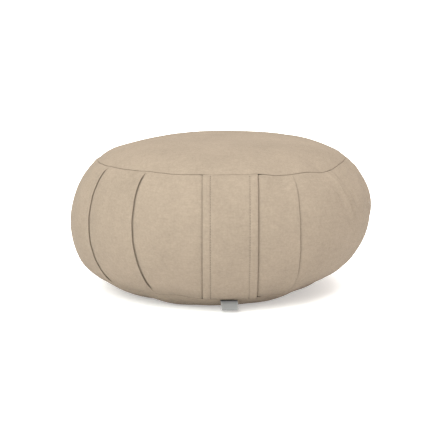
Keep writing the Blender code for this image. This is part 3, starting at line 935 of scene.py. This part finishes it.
def stitches(name, across, finish, pitch, thickness):
    """Row of stitches: each a short thread that arches from one needle hole to the next."""
    x = PANEL_LEFT + across
    _, length = panel_run(x, np.zeros(1))
    count = int(length / pitch) - 1
    stretch = np.linspace(STITCH_STARTS, STITCH_ENDS, STITCH_RINGS)[None, :]
    along = (np.arange(count)[:, None] + 1) * pitch + pitch * stretch
    fine = np.linspace(0, 1, PANEL_RUN_STEPS)
    run, _ = panel_run(x, fine)
    share = np.interp(along, run, fine)
    arch = np.sin(math.pi * np.linspace(0, 1, STITCH_RINGS)[None, :])
    radius = 0.5 * thickness * (STITCH_THIN_END + (1 - STITCH_THIN_END) * np.sqrt(arch))
    rise = PANEL_FACE - STITCH_SINK + thickness * (arch - STITCH_SUNK_SHARE)
    azimuth = azimuth_at(x, share)
    level = 1 + share
    shift = relief_shift(azimuth, level)
    centre = lifted(azimuth, level, rise) + shift
    normal = outward(azimuth, level)
    ahead = lifted(azimuth_at(x, share + SLOPE_STEP), level + SLOPE_STEP, rise) + shift - centre
    ahead = ahead / np.linalg.norm(ahead, axis=-1, keepdims=True)
    side = np.cross(ahead, normal)
    angle = np.arange(STITCH_SIDES) * TURN / STITCH_SIDES
    spokes = side[..., None, :] * np.cos(angle)[:, None] + normal[..., None, :] * np.sin(angle)[:, None]
    rings = centre[..., None, :] + radius[..., None, None] * spokes
    points = rings.reshape(-1, 3)
    one = STITCH_RINGS * STITCH_SIDES
    offsets = (np.arange(count) * one)[:, None, None]
    quads = (grid_quads(STITCH_RINGS, STITCH_SIDES, True)[:, ::-1][None] + offsets).reshape(-1, 4)
    corner = np.arange(1, STITCH_SIDES - 1)
    first = np.stack([0 * corner, corner, corner + 1], axis=-1)
    last = first[:, ::-1] + one - STITCH_SIDES
    triangles = (np.concatenate([first, last])[None] + offsets).reshape(-1, 3)
    u = np.broadcast_to(along[..., None], rings.shape[:3])
    v = np.broadcast_to(angle * 0.5 * thickness, rings.shape[:3])
    uv = np.stack([u, v], axis=-1).reshape(-1, 2)
    return add_piece(name, points, quads, triangles, uv, finish)


def ribbon_tab(finish, layer):
    """Short folded loop: down the front layer, round the fold and back up the rear layer."""
    azimuth = float(azimuth_at(RIBBON_X, 0.0))
    seam = skin(azimuth, 1.0)
    low = np.array([-RIBBON_REACH, -RIBBON_DROP])
    slope = low / np.linalg.norm(low)
    side = np.array([slope[1], -slope[0]])
    half = RIBBON_LAYERS_APART / 2
    start = seam[1:] + side * half - np.array([0, RIBBON_BELOW_SEAM])
    length = min(np.linalg.norm(low), (start[1] - RIBBON_FLOOR_CLEARANCE - half) / -slope[1])
    down = np.linspace(0, 1, RIBBON_ROWS)[:, None]
    angle = np.linspace(0, math.pi, RIBBON_FOLD_ROWS)[1:-1, None]
    front = start + side * half + slope * length * down
    fold = start + slope * length + half * (side * np.cos(angle) + slope * np.sin(angle))
    rear = start - side * half + slope * length * down[::-1]
    path = np.concatenate([front, fold, rear])
    part = np.linspace(0, 1, len(path))[:, None]
    across = np.linspace(-1, 1, RIBBON_COLUMNS)[None, :]
    middle = np.sin(math.pi * part)
    reach = RIBBON_WIDTH / 2 - RIBBON_CORNER * middle**RIBBON_CORNER_POWER
    ripple = RIBBON_RIPPLE * np.sin(RIPPLES_ACROSS * across + RIPPLES_ALONG * part)
    bow = RIBBON_BOW * (across**2 - RIBBON_BOW_EDGE) * middle + ripple
    x = RIBBON_X + reach * across + RIBBON_SLANT * middle
    y = path[:, :1] + side[0] * bow
    z = path[:, 1:] + side[1] * bow
    points = np.stack(np.broadcast_arrays(x, y, z), axis=-1).reshape(-1, 3)
    run = run_along(path)[:, None]
    uv = np.stack(np.broadcast_arrays(RIBBON_WIDTH / 2 * across, run), axis=-1).reshape(-1, 2)
    quads = grid_quads(len(path), RIBBON_COLUMNS, False)
    return thickened(add_piece("ribbon_tab_cloth", points, quads, NO_TRIANGLES, uv, finish), layer, 0)


def hold_weights(azimuth, level):
    """How firmly the cover is held: wholly where it rests, and partly along seams and folds."""
    resting = level <= RESTING_RADIUS / BOTTOM_SEAM_RADIUS
    on_band = (level >= 1) & (level <= 2)
    nearest = np.full(azimuth.shape, np.inf)
    for place in anchors(np.clip(level - 1, 0, 1)):
        nearest = np.minimum(nearest, np.abs((azimuth - place + math.pi) % TURN - math.pi))
    fold = np.exp(-((nearest / FOLD_HOLD_WIDTH) ** 2)) * on_band
    seam = sum(np.exp(-(((level - at) / SEAM_HOLD_WIDTH) ** 2)) for at in (1, 2))
    weight = np.maximum(FOLD_HOLD * fold, SEAM_HOLD * seam) + PLEAT_END_HOLD * fold * seam
    return np.clip(np.where(resting, 1.0, weight), 0, 1)


def fill_cover(pressure, cap):
    """Cloth simulation of the filled cover.

    Keeps how far the cover moves outwards, less the waves that are longer
    than a gore, smoothed and eased off at the cap.
    """
    resting = RESTING_RADIUS / BOTTOM_SEAM_RADIUS
    level = np.concatenate([
        np.linspace(resting * FILL_FROM_RESTING, 1, FILL_BOTTOM_ROWS, endpoint=False),
        np.linspace(1, 2, FILL_BAND_ROWS, endpoint=False),
        np.linspace(2, FILL_TO_LEVEL, FILL_TOP_ROWS),
    ])
    around = np.arange(FILL_COLUMNS) * TURN / FILL_COLUMNS
    azimuth, levels = np.meshgrid(around, level)
    start = lifted(azimuth, levels, np.zeros(levels.shape))
    poles = np.array([start[0].mean(axis=0), (LEAN / 2, 0, HEIGHT)])
    points = np.concatenate([start.reshape(-1, 3), poles])
    faces = tube_faces(len(level), FILL_COLUMNS)
    cover = bpy.data.materials.new("cover")
    body = add_piece("filled_cover", points, *faces, np.zeros((len(points), 2)), cover)
    held = body.vertex_groups.new(name="held")
    weight = np.concatenate([hold_weights(azimuth, levels).ravel(), [1.0, 0.0]])
    weight = np.round(weight * HOLD_STEPS) / HOLD_STEPS
    for value in np.unique(weight[weight > 0]):
        held.add(np.nonzero(weight == value)[0].tolist(), float(value), "REPLACE")
    cloth = body.modifiers.new("fill", "CLOTH")
    for name, value in FILL_CLOTH.items():
        setattr(cloth.settings, name, value)
    cloth.settings.uniform_pressure_force = pressure
    cloth.settings.vertex_group_mass = "held"
    cloth.settings.effector_weights.gravity = 0
    cloth.collision_settings.use_collision = False
    cloth.point_cache.frame_start = 1
    cloth.point_cache.frame_end = FILL_FRAMES
    for frame_number in range(1, FILL_FRAMES + 1):
        bpy.context.scene.frame_set(frame_number)
    filled = body.evaluated_get(bpy.context.evaluated_depsgraph_get())
    found = np.empty(3 * len(points), np.float32)
    filled.data.vertices.foreach_get("co", found)
    moved = found.reshape(-1, 3)[: levels.size].reshape(start.shape) - start
    lifts = (moved * swell_direction(azimuth, levels)).sum(axis=-1)
    waves = np.fft.rfft(lifts, axis=1)
    waves[:, :LONG_WAVES] = 0
    lifts = np.fft.irfft(waves, n=FILL_COLUMNS, axis=1)
    for _ in range(SMOOTHING_ROUNDS):
        lifts = (np.roll(lifts, 1, axis=1) + 2 * lifts + np.roll(lifts, -1, axis=1)) / 4
        lifts[1:-1] = (lifts[:-2] + 2 * lifts[1:-1] + lifts[2:]) / 4
    FilledCover.levels = np.concatenate([level, [3.0]])
    FilledCover.lifts = np.concatenate([cap * np.tanh(lifts / cap), np.zeros((1, FILL_COLUMNS))])
    bpy.context.scene.frame_set(1)
    mesh = body.data
    bpy.data.objects.remove(body)
    bpy.data.meshes.remove(mesh)
    bpy.data.materials.remove(cover)


class Value:
    """A shader socket that takes Python's operators: an expression on values adds its Math nodes."""

    def __init__(self, finish, socket):
        self.finish = finish
        self.socket = socket

    def maths(self, operation, *others):
        """Math node on this value and up to two others."""
        inputs = dict(enumerate((self, *others)))
        return Value(self.finish, self.finish.node("Math", {"operation": operation}, inputs).outputs[0])

    def __add__(self, other):
        return self.maths("ADD", other)

    def __mul__(self, other):
        return self.maths("MULTIPLY", other)

    def __sub__(self, other):
        return self.maths("SUBTRACT", other)

    def __truediv__(self, other):
        return self.maths("DIVIDE", other)

    def __rsub__(self, other):
        return self * -1 + other

    __radd__ = __add__
    __rmul__ = __mul__

    def sine(self):
        """Sine of the value."""
        return self.maths("SINE")

    def size(self):
        """Value without its sign."""
        return self.maths("ABSOLUTE")

    def floor(self):
        """Whole number below the value."""
        return self.maths("FLOOR")

    def wrapped(self, span):
        """Rest of the value after whole spans."""
        return self.maths("FLOORED_MODULO", span)

    def above(self, limit):
        """1 where the value is more than the limit, and 0 elsewhere."""
        return self.maths("GREATER_THAN", limit)


class Finish:
    """A procedural material under construction, with one method that adds nodes."""

    def __init__(self, name):
        self.material = bpy.data.materials.new(name)
        self.material.use_nodes = True
        self.tree = self.material.node_tree
        self.shader = self.tree.nodes["Principled BSDF"]

    def feed(self, socket, value):
        """Gives a socket a value, or a link where the value comes from another node."""
        value = getattr(value, "socket", value)
        if isinstance(value, bpy.types.NodeSocket):
            self.tree.links.new(value, socket)
        else:
            socket.default_value = value

    def node(self, kind, settings=None, inputs=None):
        """Node of a kind: its settings come first, then the values or links of its sockets."""
        made = self.tree.nodes.new(f"ShaderNode{kind}")
        for name, setting in (settings or {}).items():
            setattr(made, name, setting)
        for name, value in (inputs or {}).items():
            self.feed(made.inputs[name], value)
        return made

    def flat_place(self):
        """The two coordinates of the cloth's flat place, in metres."""
        parts = self.node("SeparateXYZ", inputs={0: self.node("UVMap", {"uv_map": "weave"}).outputs[0]})
        return Value(self, parts.outputs[0]), Value(self, parts.outputs[1])

    def noise(self, u, v, detail, offset=0.0):
        """Smooth noise about 0 of two coordinates, one unit to a blot."""
        place = self.node("CombineXYZ", inputs={0: u + offset, 1: v + offset})
        inputs = {"Vector": place.outputs[0], "Scale": 1.0, "Detail": detail}
        return Value(self, self.node("TexNoise", {"noise_dimensions": "2D"}, inputs).outputs[0]) - 0.5

    def blots(self, u, v, table):
        """Sum of the soft noises of a table, over the flat place."""
        total = 0.0
        for across, along, detail, offset, weight in table:
            total = self.noise(u / (across * MM), v / (along * MM), detail, offset) * weight + total
        return total

    def painted_shade(self, run):
        """Tone of the ribbon along its run, all painted shade: a dark painted shadow in the slit where it
        leaves the seam, and painted shade for a few millimetres below it.
        """
        tone = 1.0
        for start, end, darkest in RIBBON_PAINTED_SHADE:
            inputs = {0: run, 1: start * MM, 2: end * MM, 3: darkest, 4: 1.0}
            step = self.node("MapRange", {"interpolation_type": "SMOOTHSTEP"}, inputs)
            tone = Value(self, step.outputs[0]) * tone
        return tone

    def surface(self, **values):
        """Feeds the shader's colour, roughness and normal."""
        for name, value in values.items():
            self.feed(self.shader.inputs[name.replace("_", " ").title()], value)
        return self.material

    def tinted(self, colour, factor):
        """A colour made lighter or darker by a factor."""
        node = self.node("VectorMath", {"operation": "SCALE"}, {0: tuple(colour)[:3], 3: factor})
        return node.outputs[0]

    def mixed(self, colour, other, factor):
        """Mix of two colours."""
        node = self.node("Mix", {"data_type": "RGBA"}, {0: factor, 6: colour, 7: other})
        return node.outputs[2]

    def bump(self, height, distance, below=None):
        """Bump from a height, with the distance in metres that 1 stands for, over another bump."""
        inputs = {"Height": height, "Distance": distance, "Strength": 1.0}
        if below is not None:
            inputs["Normal"] = below
        return self.node("Bump", inputs=inputs).outputs[0]


def canvas(name, colour, look):
    """Plain-woven cotton canvas: threads over and under each other, uneven yarns and soft mottling."""
    finish = Finish(name)
    u, v = finish.flat_place()
    across, along = u / look.weave_pitch, v / look.weave_pitch
    over = (across.floor() + along.floor()).wrapped(2.0)
    warp, weft = (across * math.pi).sine().size(), (along * math.pi).sine().size()
    threads = warp * over + weft * (1 - over)
    warp_yarn = finish.noise(across * YARN_THICK, along * YARN_LONG, YARN_DETAIL)
    weft_yarn = finish.noise(across * YARN_LONG, along * YARN_THICK, YARN_DETAIL, WEFT_OFFSET)
    yarn = warp_yarn * over + weft_yarn * (1 - over)
    mottling = finish.blots(u, v, CANVAS_MOTTLES) + finish.blots(u, v, CANVAS_CLOUDS) * CLOUD_TONE
    shade = 1 + yarn * (YARN_TONE * look.yarn_contrast) + mottling * look.mottling
    shade = shade - (1 - threads) * look.weave_shade
    slack = finish.bump(finish.blots(u, v, CANVAS_SLACK), look.slack)
    weave = finish.bump(threads * THREAD_HEIGHT + yarn * YARN_HEIGHT, look.weave_relief, slack)
    finish.shader.inputs["Specular IOR Level"].default_value = CANVAS_SPECULAR
    rough = CANVAS_ROUGHNESS + yarn * YARN_ROUGHNESS
    return finish.surface(base_color=finish.tinted(colour, shade), roughness=rough, normal=weave)


def thread(name, colour):
    """Twisted sewing thread: slanted strands along its length."""
    finish = Finish(name)
    u, v = finish.flat_place()
    strands = ((u + v * STRAND_SLANT) * (TURN / STRAND_PITCH)).sine()
    fibre = finish.blots(u, v, THREAD_FIBRES)
    shade = THREAD_TONE + strands * STRAND_TONE + fibre * FIBRE_TONE
    twist = finish.bump(strands * 0.5 + 0.5, STRAND_RELIEF)
    rough = THREAD_ROUGHNESS + fibre * FIBRE_ROUGHNESS
    return finish.surface(base_color=finish.tinted(colour, shade), roughness=rough, normal=twist)


def ribbon(name, colour, look):
    """Satin ribbon: long floats across it, a ribbed woven border along both edges, faint uneven weft, and
    painted shade near the seam.
    """
    finish = Finish(name)
    u, v = finish.flat_place()
    floats = (v * (TURN / FLOAT_PITCH)).sine()
    ribs = (u * (TURN / RIB_PITCH)).sine()
    border = u.size().above(RIBBON_WIDTH / 2 - BORDER_WIDTH)
    weft = finish.blots(u, v, RIBBON_WEFT)
    shade = 1 + floats * FLOAT_TONE + weft * WEFT_TONE + ribs * border * RIB_TONE
    # painted shade: darker where the ribbon leaves the seam and under the overhanging band
    shade = shade * finish.painted_shade(v)
    colours = finish.mixed(finish.tinted(colour, shade), finish.tinted(look.ribbon_border, shade), border)
    height = floats * FLOAT_HEIGHT + ribs * border * RIB_HEIGHT + weft * WEFT_HEIGHT
    rough = SATIN_ROUGHNESS + weft * WEFT_ROUGHNESS + border * BORDER_ROUGHNESS
    return finish.surface(base_color=colours, roughness=rough, normal=finish.bump(height, SATIN_RELIEF))


def floor_finish(colour, glow):
    """Matt white studio floor, lit a little from below, with a trace of unevenness in its roughness."""
    finish = Finish("studio_floor")
    place = finish.node("TexCoord").outputs["Object"]
    noise = Value(finish, finish.node("TexNoise", inputs={"Vector": place, "Scale": 3.0}).outputs[0])
    plain = {
        "Base Color": (*colour, 1),
        "Specular IOR Level": 0.1,
        "Emission Color": (1, 1, 1, 1),
        "Emission Strength": glow,
    }
    for name, value in plain.items():
        finish.shader.inputs[name].default_value = value
    return finish.surface(roughness=0.85 + (noise - 0.5) * 0.1)


def floor(stage):
    """Flat floor: a grid of points just under the cushion."""
    side = np.linspace(-stage.floor_size / 2, stage.floor_size / 2, FLOOR_POINTS)
    x, y = np.meshgrid(side, side)
    points = np.stack([x, y, np.full(x.shape, -stage.floor_below)], axis=-1).reshape(-1, 3)
    quads = grid_quads(FLOOR_POINTS, FLOOR_POINTS, False)
    finish = floor_finish(stage.floor_colour, stage.floor_glow)
    add_piece("studio_floor", points, quads, NO_TRIANGLES, points[:, :2], finish)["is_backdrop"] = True


def direction(azimuth, elevation):
    """Unit direction from the cushion towards an azimuth and elevation."""
    level = math.cos(elevation)
    return Vector((math.sin(azimuth) * level, -math.cos(azimuth) * level, math.sin(elevation)))


def stood_at(name, data, place, towards):
    """Object for a light or camera at a place, looking against the direction towards it."""
    made = bpy.data.objects.new(name, data)
    made.location = place
    made.rotation_euler = towards.to_track_quat("Z", "Y").to_euler()
    bpy.context.scene.collection.objects.link(made)
    return made


def sun(name, azimuth, elevation, strength, angle, colour):
    """Soft distant light from an azimuth and elevation."""
    light = bpy.data.lights.new(name, "SUN")
    light.energy = strength
    light.angle = angle
    light.color = tuple(colour)
    towards = direction(azimuth, elevation)
    stood_at(name, light, towards * LAMP_DISTANCE, towards)


def daylight(stage):
    """Even white surroundings."""
    world = bpy.data.worlds.new("studio")
    world.use_nodes = True
    background = world.node_tree.nodes["Background"]
    background.inputs["Color"].default_value = (*stage.daylight_colour, 1)
    background.inputs["Strength"].default_value = stage.daylight
    bpy.context.scene.world = world


def camera(stage):
    """Camera in front of the cushion, a little above it."""
    data = bpy.data.cameras.new("camera")
    data.lens = stage.lens
    data.sensor_width = SENSOR_WIDTH
    data.clip_start = NEAREST_SEEN
    data.clip_end = FURTHEST_SEEN
    towards = direction(0, stage.camera_elevation)
    place = Vector((stage.aim_x, 0, stage.aim_height)) + towards * stage.camera_distance
    bpy.context.scene.camera = stood_at("camera", data, place, towards)


class ZafuSizes(bpy.types.PropertyGroup):
    """Sizes of the sewing that a maker may change."""

    nose_radius: bpy.props.FloatProperty(
        name="Fold radius", description="Radius of the cloth's turn at a pleat's edge",
        default=0.62 * MM, unit="LENGTH",
    )
    cloth: bpy.props.FloatProperty(
        name="Cloth", description="Thickness of the round panels' cloth", default=1.2 * MM, unit="LENGTH"
    )
    stitch_pitch: bpy.props.FloatProperty(
        name="Stitch length", description="Length of one topstitch", default=3.3 * MM, unit="LENGTH"
    )
    thread: bpy.props.FloatProperty(
        name="Thread", description="Thickness of the topstitching thread", default=0.7 * MM, unit="LENGTH"
    )
    ribbon: bpy.props.FloatProperty(
        name="Ribbon", description="Thickness of one layer of the ribbon tab",
        default=0.4 * MM, unit="LENGTH",
    )
    pressure: bpy.props.FloatProperty(
        name="Fill pressure", description="Pressure of the fill on the cover", default=4.0
    )
    swelling: bpy.props.FloatProperty(
        name="Most swelling", description="Most that the fill moves the cover",
        default=1.2 * MM, unit="LENGTH",
    )


class ZafuLook(bpy.types.PropertyGroup):
    """Colours and textures of the cloth, thread and ribbon."""

    canvas: bpy.props.FloatVectorProperty(
        name="Canvas", description="Colour of the canvas",
        default=(0.214, 0.171, 0.131), subtype="COLOR", size=3,
    )
    thread: bpy.props.FloatVectorProperty(
        name="Thread", description="Colour of the topstitching",
        default=(0.075, 0.058, 0.041), subtype="COLOR", size=3,
    )
    ribbon: bpy.props.FloatVectorProperty(
        name="Ribbon", description="Colour of the ribbon tab",
        default=(0.168, 0.167, 0.165), subtype="COLOR", size=3,
    )
    ribbon_border: bpy.props.FloatVectorProperty(
        name="Ribbon border", description="Colour of the ribbon's woven border",
        default=(0.225, 0.224, 0.22), subtype="COLOR", size=3,
    )
    weave_pitch: bpy.props.FloatProperty(
        name="Weave", description="Distance from one thread of the canvas to the next",
        default=0.55 * MM, unit="LENGTH",
    )
    weave_relief: bpy.props.FloatProperty(
        name="Weave relief", description="Height of the canvas's threads", default=0.12 * MM, unit="LENGTH"
    )
    weave_shade: bpy.props.FloatProperty(
        name="Weave shade", description="How much darker the canvas is between its threads", default=0.16
    )
    yarn_contrast: bpy.props.FloatProperty(
        name="Yarns", description="Difference in tone from yarn to yarn", default=0.09
    )
    mottling: bpy.props.FloatProperty(
        name="Mottling", description="Difference in tone from patch to patch", default=0.15
    )
    slack: bpy.props.FloatProperty(
        name="Slack", description="Height of the soft unevenness of the cloth",
        default=0.5 * MM, unit="LENGTH",
    )


class ZafuStage(bpy.types.PropertyGroup):
    """Floor, light and camera."""

    floor_size: bpy.props.FloatProperty(
        name="Floor", description="Width of the floor", default=24.0, unit="LENGTH"
    )
    floor_below: bpy.props.FloatProperty(
        name="Floor below", description="How far the floor lies under the cushion",
        default=0.2 * MM, unit="LENGTH",
    )
    floor_glow: bpy.props.FloatProperty(
        name="Floor glow", description="Light that the floor gives out, as a lit table does", default=0.36
    )
    floor_colour: bpy.props.FloatVectorProperty(
        name="Floor colour", description="Colour of the floor",
        default=(0.9, 0.9, 0.9), subtype="COLOR", size=3,
    )
    daylight: bpy.props.FloatProperty(
        name="Daylight", description="Strength of the even surroundings", default=1.19
    )
    daylight_colour: bpy.props.FloatVectorProperty(
        name="Daylight colour", description="Colour of the surroundings",
        default=(1.0, 0.959, 0.918), subtype="COLOR", size=3,
    )
    key: bpy.props.FloatProperty(name="Key light", description="Strength of the main light", default=3.3)
    key_colour: bpy.props.FloatVectorProperty(
        name="Key colour", description="Colour of the main light",
        default=(0.908, 1.0, 0.97), subtype="COLOR", size=3,
    )
    key_azimuth: bpy.props.FloatProperty(
        name="Key azimuth", description="Side that the main light comes from",
        default=math.radians(-30), unit="ROTATION",
    )
    key_elevation: bpy.props.FloatProperty(
        name="Key elevation", description="Height that the main light comes from",
        default=math.radians(45), unit="ROTATION",
    )
    key_angle: bpy.props.FloatProperty(
        name="Key softness", description="Apparent size of the main light",
        default=math.radians(50), unit="ROTATION",
    )
    top: bpy.props.FloatProperty(
        name="Top light", description="Strength of the light from above", default=3.05
    )
    top_azimuth: bpy.props.FloatProperty(
        name="Top azimuth", description="Side that the light from above comes from",
        default=math.radians(30), unit="ROTATION",
    )
    top_elevation: bpy.props.FloatProperty(
        name="Top elevation", description="Height that the light from above comes from",
        default=math.radians(75), unit="ROTATION",
    )
    lens: bpy.props.FloatProperty(name="Lens", description="Focal length in millimetres", default=130.3)
    camera_distance: bpy.props.FloatProperty(
        name="Camera distance", description="Distance from the camera to its aim",
        default=2.066, unit="LENGTH",
    )
    camera_elevation: bpy.props.FloatProperty(
        name="Camera elevation", description="Angle above the horizon",
        default=math.radians(10.2), unit="ROTATION",
    )
    aim_x: bpy.props.FloatProperty(
        name="Aim across", description="Where the camera aims, across", default=-2.9 * MM, unit="LENGTH"
    )
    aim_height: bpy.props.FloatProperty(
        name="Aim height", description="Where the camera aims, above the floor",
        default=96.5 * MM, unit="LENGTH",
    )


def settle(piece, node=None):
    """Makes a piece ride on the one body and stand for its node."""
    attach(piece, "root")
    if node:
        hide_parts(node)
    return piece


class ZAFU_OT_fill(bpy.types.Operator):
    """Fills the cover by cloth simulation, for the pieces that are made after it"""

    bl_idname = "zafu.fill"
    bl_label = "Fill the cover"

    def execute(self, context):
        sizes = context.scene.zafu_sizes
        fill_cover(sizes.pressure, sizes.swelling)
        return {"FINISHED"}


class ZAFU_OT_side_band(bpy.types.Operator):
    """Makes the pleated side band"""

    bl_idname = "zafu.side_band"
    bl_label = "Side band"

    def execute(self, context):
        look = context.scene.zafu_look
        piece = side_band(canvas("band_canvas", look.canvas, look), context.scene.zafu_sizes.nose_radius)
        settle(piece, "side_band")
        return {"FINISHED"}


class ZAFU_OT_round_panels(bpy.types.Operator):
    """Makes the round top and bottom panels"""

    bl_idname = "zafu.round_panels"
    bl_label = "Round panels"

    def execute(self, context):
        look, sizes = context.scene.zafu_look, context.scene.zafu_sizes
        finish = canvas("panel_canvas", look.canvas, look)
        panels = ("top_panel", TOP_SEAM_RADIUS), ("bottom_panel", BOTTOM_SEAM_RADIUS)
        for name, radius in panels:
            piece = round_panel(f"{name}_cloth", name == "top_panel", finish, sizes.cloth)
            settle(piece, name)
            flat = 2 * radius * DOME_ALLOWANCE
            area = math.pi * flat**2 / 4
        return {"FINISHED"}


class ZAFU_OT_closure_panel(bpy.types.Operator):
    """Makes the panel over the closure"""

    bl_idname = "zafu.closure_panel"
    bl_label = "Closure panel"

    def execute(self, context):
        look, sizes = context.scene.zafu_look, context.scene.zafu_sizes
        piece = closure_panel(canvas("closure_canvas", look.canvas, look), sizes.stitch_pitch)
        settle(piece, "closure_panel")
        _, length = panel_run(PANEL_MIDDLE, np.zeros(1))
        return {"FINISHED"}


class ZAFU_OT_topstitching(bpy.types.Operator):
    """Makes the two rows of topstitching"""

    bl_idname = "zafu.topstitching"
    bl_label = "Topstitching"

    def execute(self, context):
        look, sizes = context.scene.zafu_look, context.scene.zafu_sizes
        finish = thread("topstitch_thread", look.thread)
        for side, across in zip(("left", "right"), STITCH_LINES):
            row = stitches(f"topstitching_{side}", across, finish, sizes.stitch_pitch, sizes.thread)
            settle(row)
        return {"FINISHED"}


class ZAFU_OT_ribbon_tab(bpy.types.Operator):
    """Makes the ribbon tab"""

    bl_idname = "zafu.ribbon_tab"
    bl_label = "Ribbon tab"

    def execute(self, context):
        look, sizes = context.scene.zafu_look, context.scene.zafu_sizes
        piece = ribbon_tab(ribbon("ribbon_satin", look.ribbon, look), sizes.ribbon)
        settle(piece, "ribbon_tab")
        return {"FINISHED"}


class ZAFU_OT_stage(bpy.types.Operator):
    """Makes the floor, light and camera"""

    bl_idname = "zafu.stage"
    bl_label = "Stage"

    def execute(self, context):
        stage = context.scene.zafu_stage
        floor(stage)
        daylight(stage)
        sun("key_light", stage.key_azimuth, stage.key_elevation, stage.key, stage.key_angle, stage.key_colour)
        sun("top_light", stage.top_azimuth, stage.top_elevation, stage.top, stage.key_angle, (1, 1, 1))
        camera(stage)
        context.scene.view_settings.view_transform = "Standard"
        return {"FINISHED"}


class ZAFU_PT_sidebar(bpy.types.Panel):
    """Lists the steps that make the cushion"""

    bl_label = "Zafu cushion"
    bl_idname = "ZAFU_PT_sidebar"
    bl_space_type = "VIEW_3D"
    bl_region_type = "UI"
    bl_category = "Zafu"

    def draw(self, context):
        for step in STEPS:
            self.layout.operator(step.bl_idname)
        for group in ("zafu_sizes", "zafu_look", "zafu_stage"):
            values = getattr(context.scene, group)
            box = self.layout.box()
            for name in values.__annotations__:
                box.prop(values, name)


STEPS = (
    ZAFU_OT_stage,
    ZAFU_OT_fill,
    ZAFU_OT_side_band,
    ZAFU_OT_round_panels,
    ZAFU_OT_closure_panel,
    ZAFU_OT_topstitching,
    ZAFU_OT_ribbon_tab,
)
CLASSES = (ZafuSizes, ZafuLook, ZafuStage, *STEPS, ZAFU_PT_sidebar)


def register():
    """Registers the classes and hangs their values on the scene."""
    for made in CLASSES:
        bpy.utils.register_class(made)
    bpy.types.Scene.zafu_sizes = bpy.props.PointerProperty(type=ZafuSizes)
    bpy.types.Scene.zafu_look = bpy.props.PointerProperty(type=ZafuLook)
    bpy.types.Scene.zafu_stage = bpy.props.PointerProperty(type=ZafuStage)


def unregister():
    """Takes the values and classes off again."""
    del bpy.types.Scene.zafu_stage
    del bpy.types.Scene.zafu_look
    del bpy.types.Scene.zafu_sizes
    for made in reversed(CLASSES):
        bpy.utils.unregister_class(made)


def main():
    """Makes the stage and every piece."""
    register()
    for step in STEPS:
        group, name = step.bl_idname.split(".")
        getattr(getattr(bpy.ops, group), name)()
    boxes = {"cad": CAD_BOX, "visual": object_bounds()}
    boxes = {key: [[float(value) for value in corner] for corner in box] for key, box in boxes.items()}


if __name__ == "__main__":
    main()
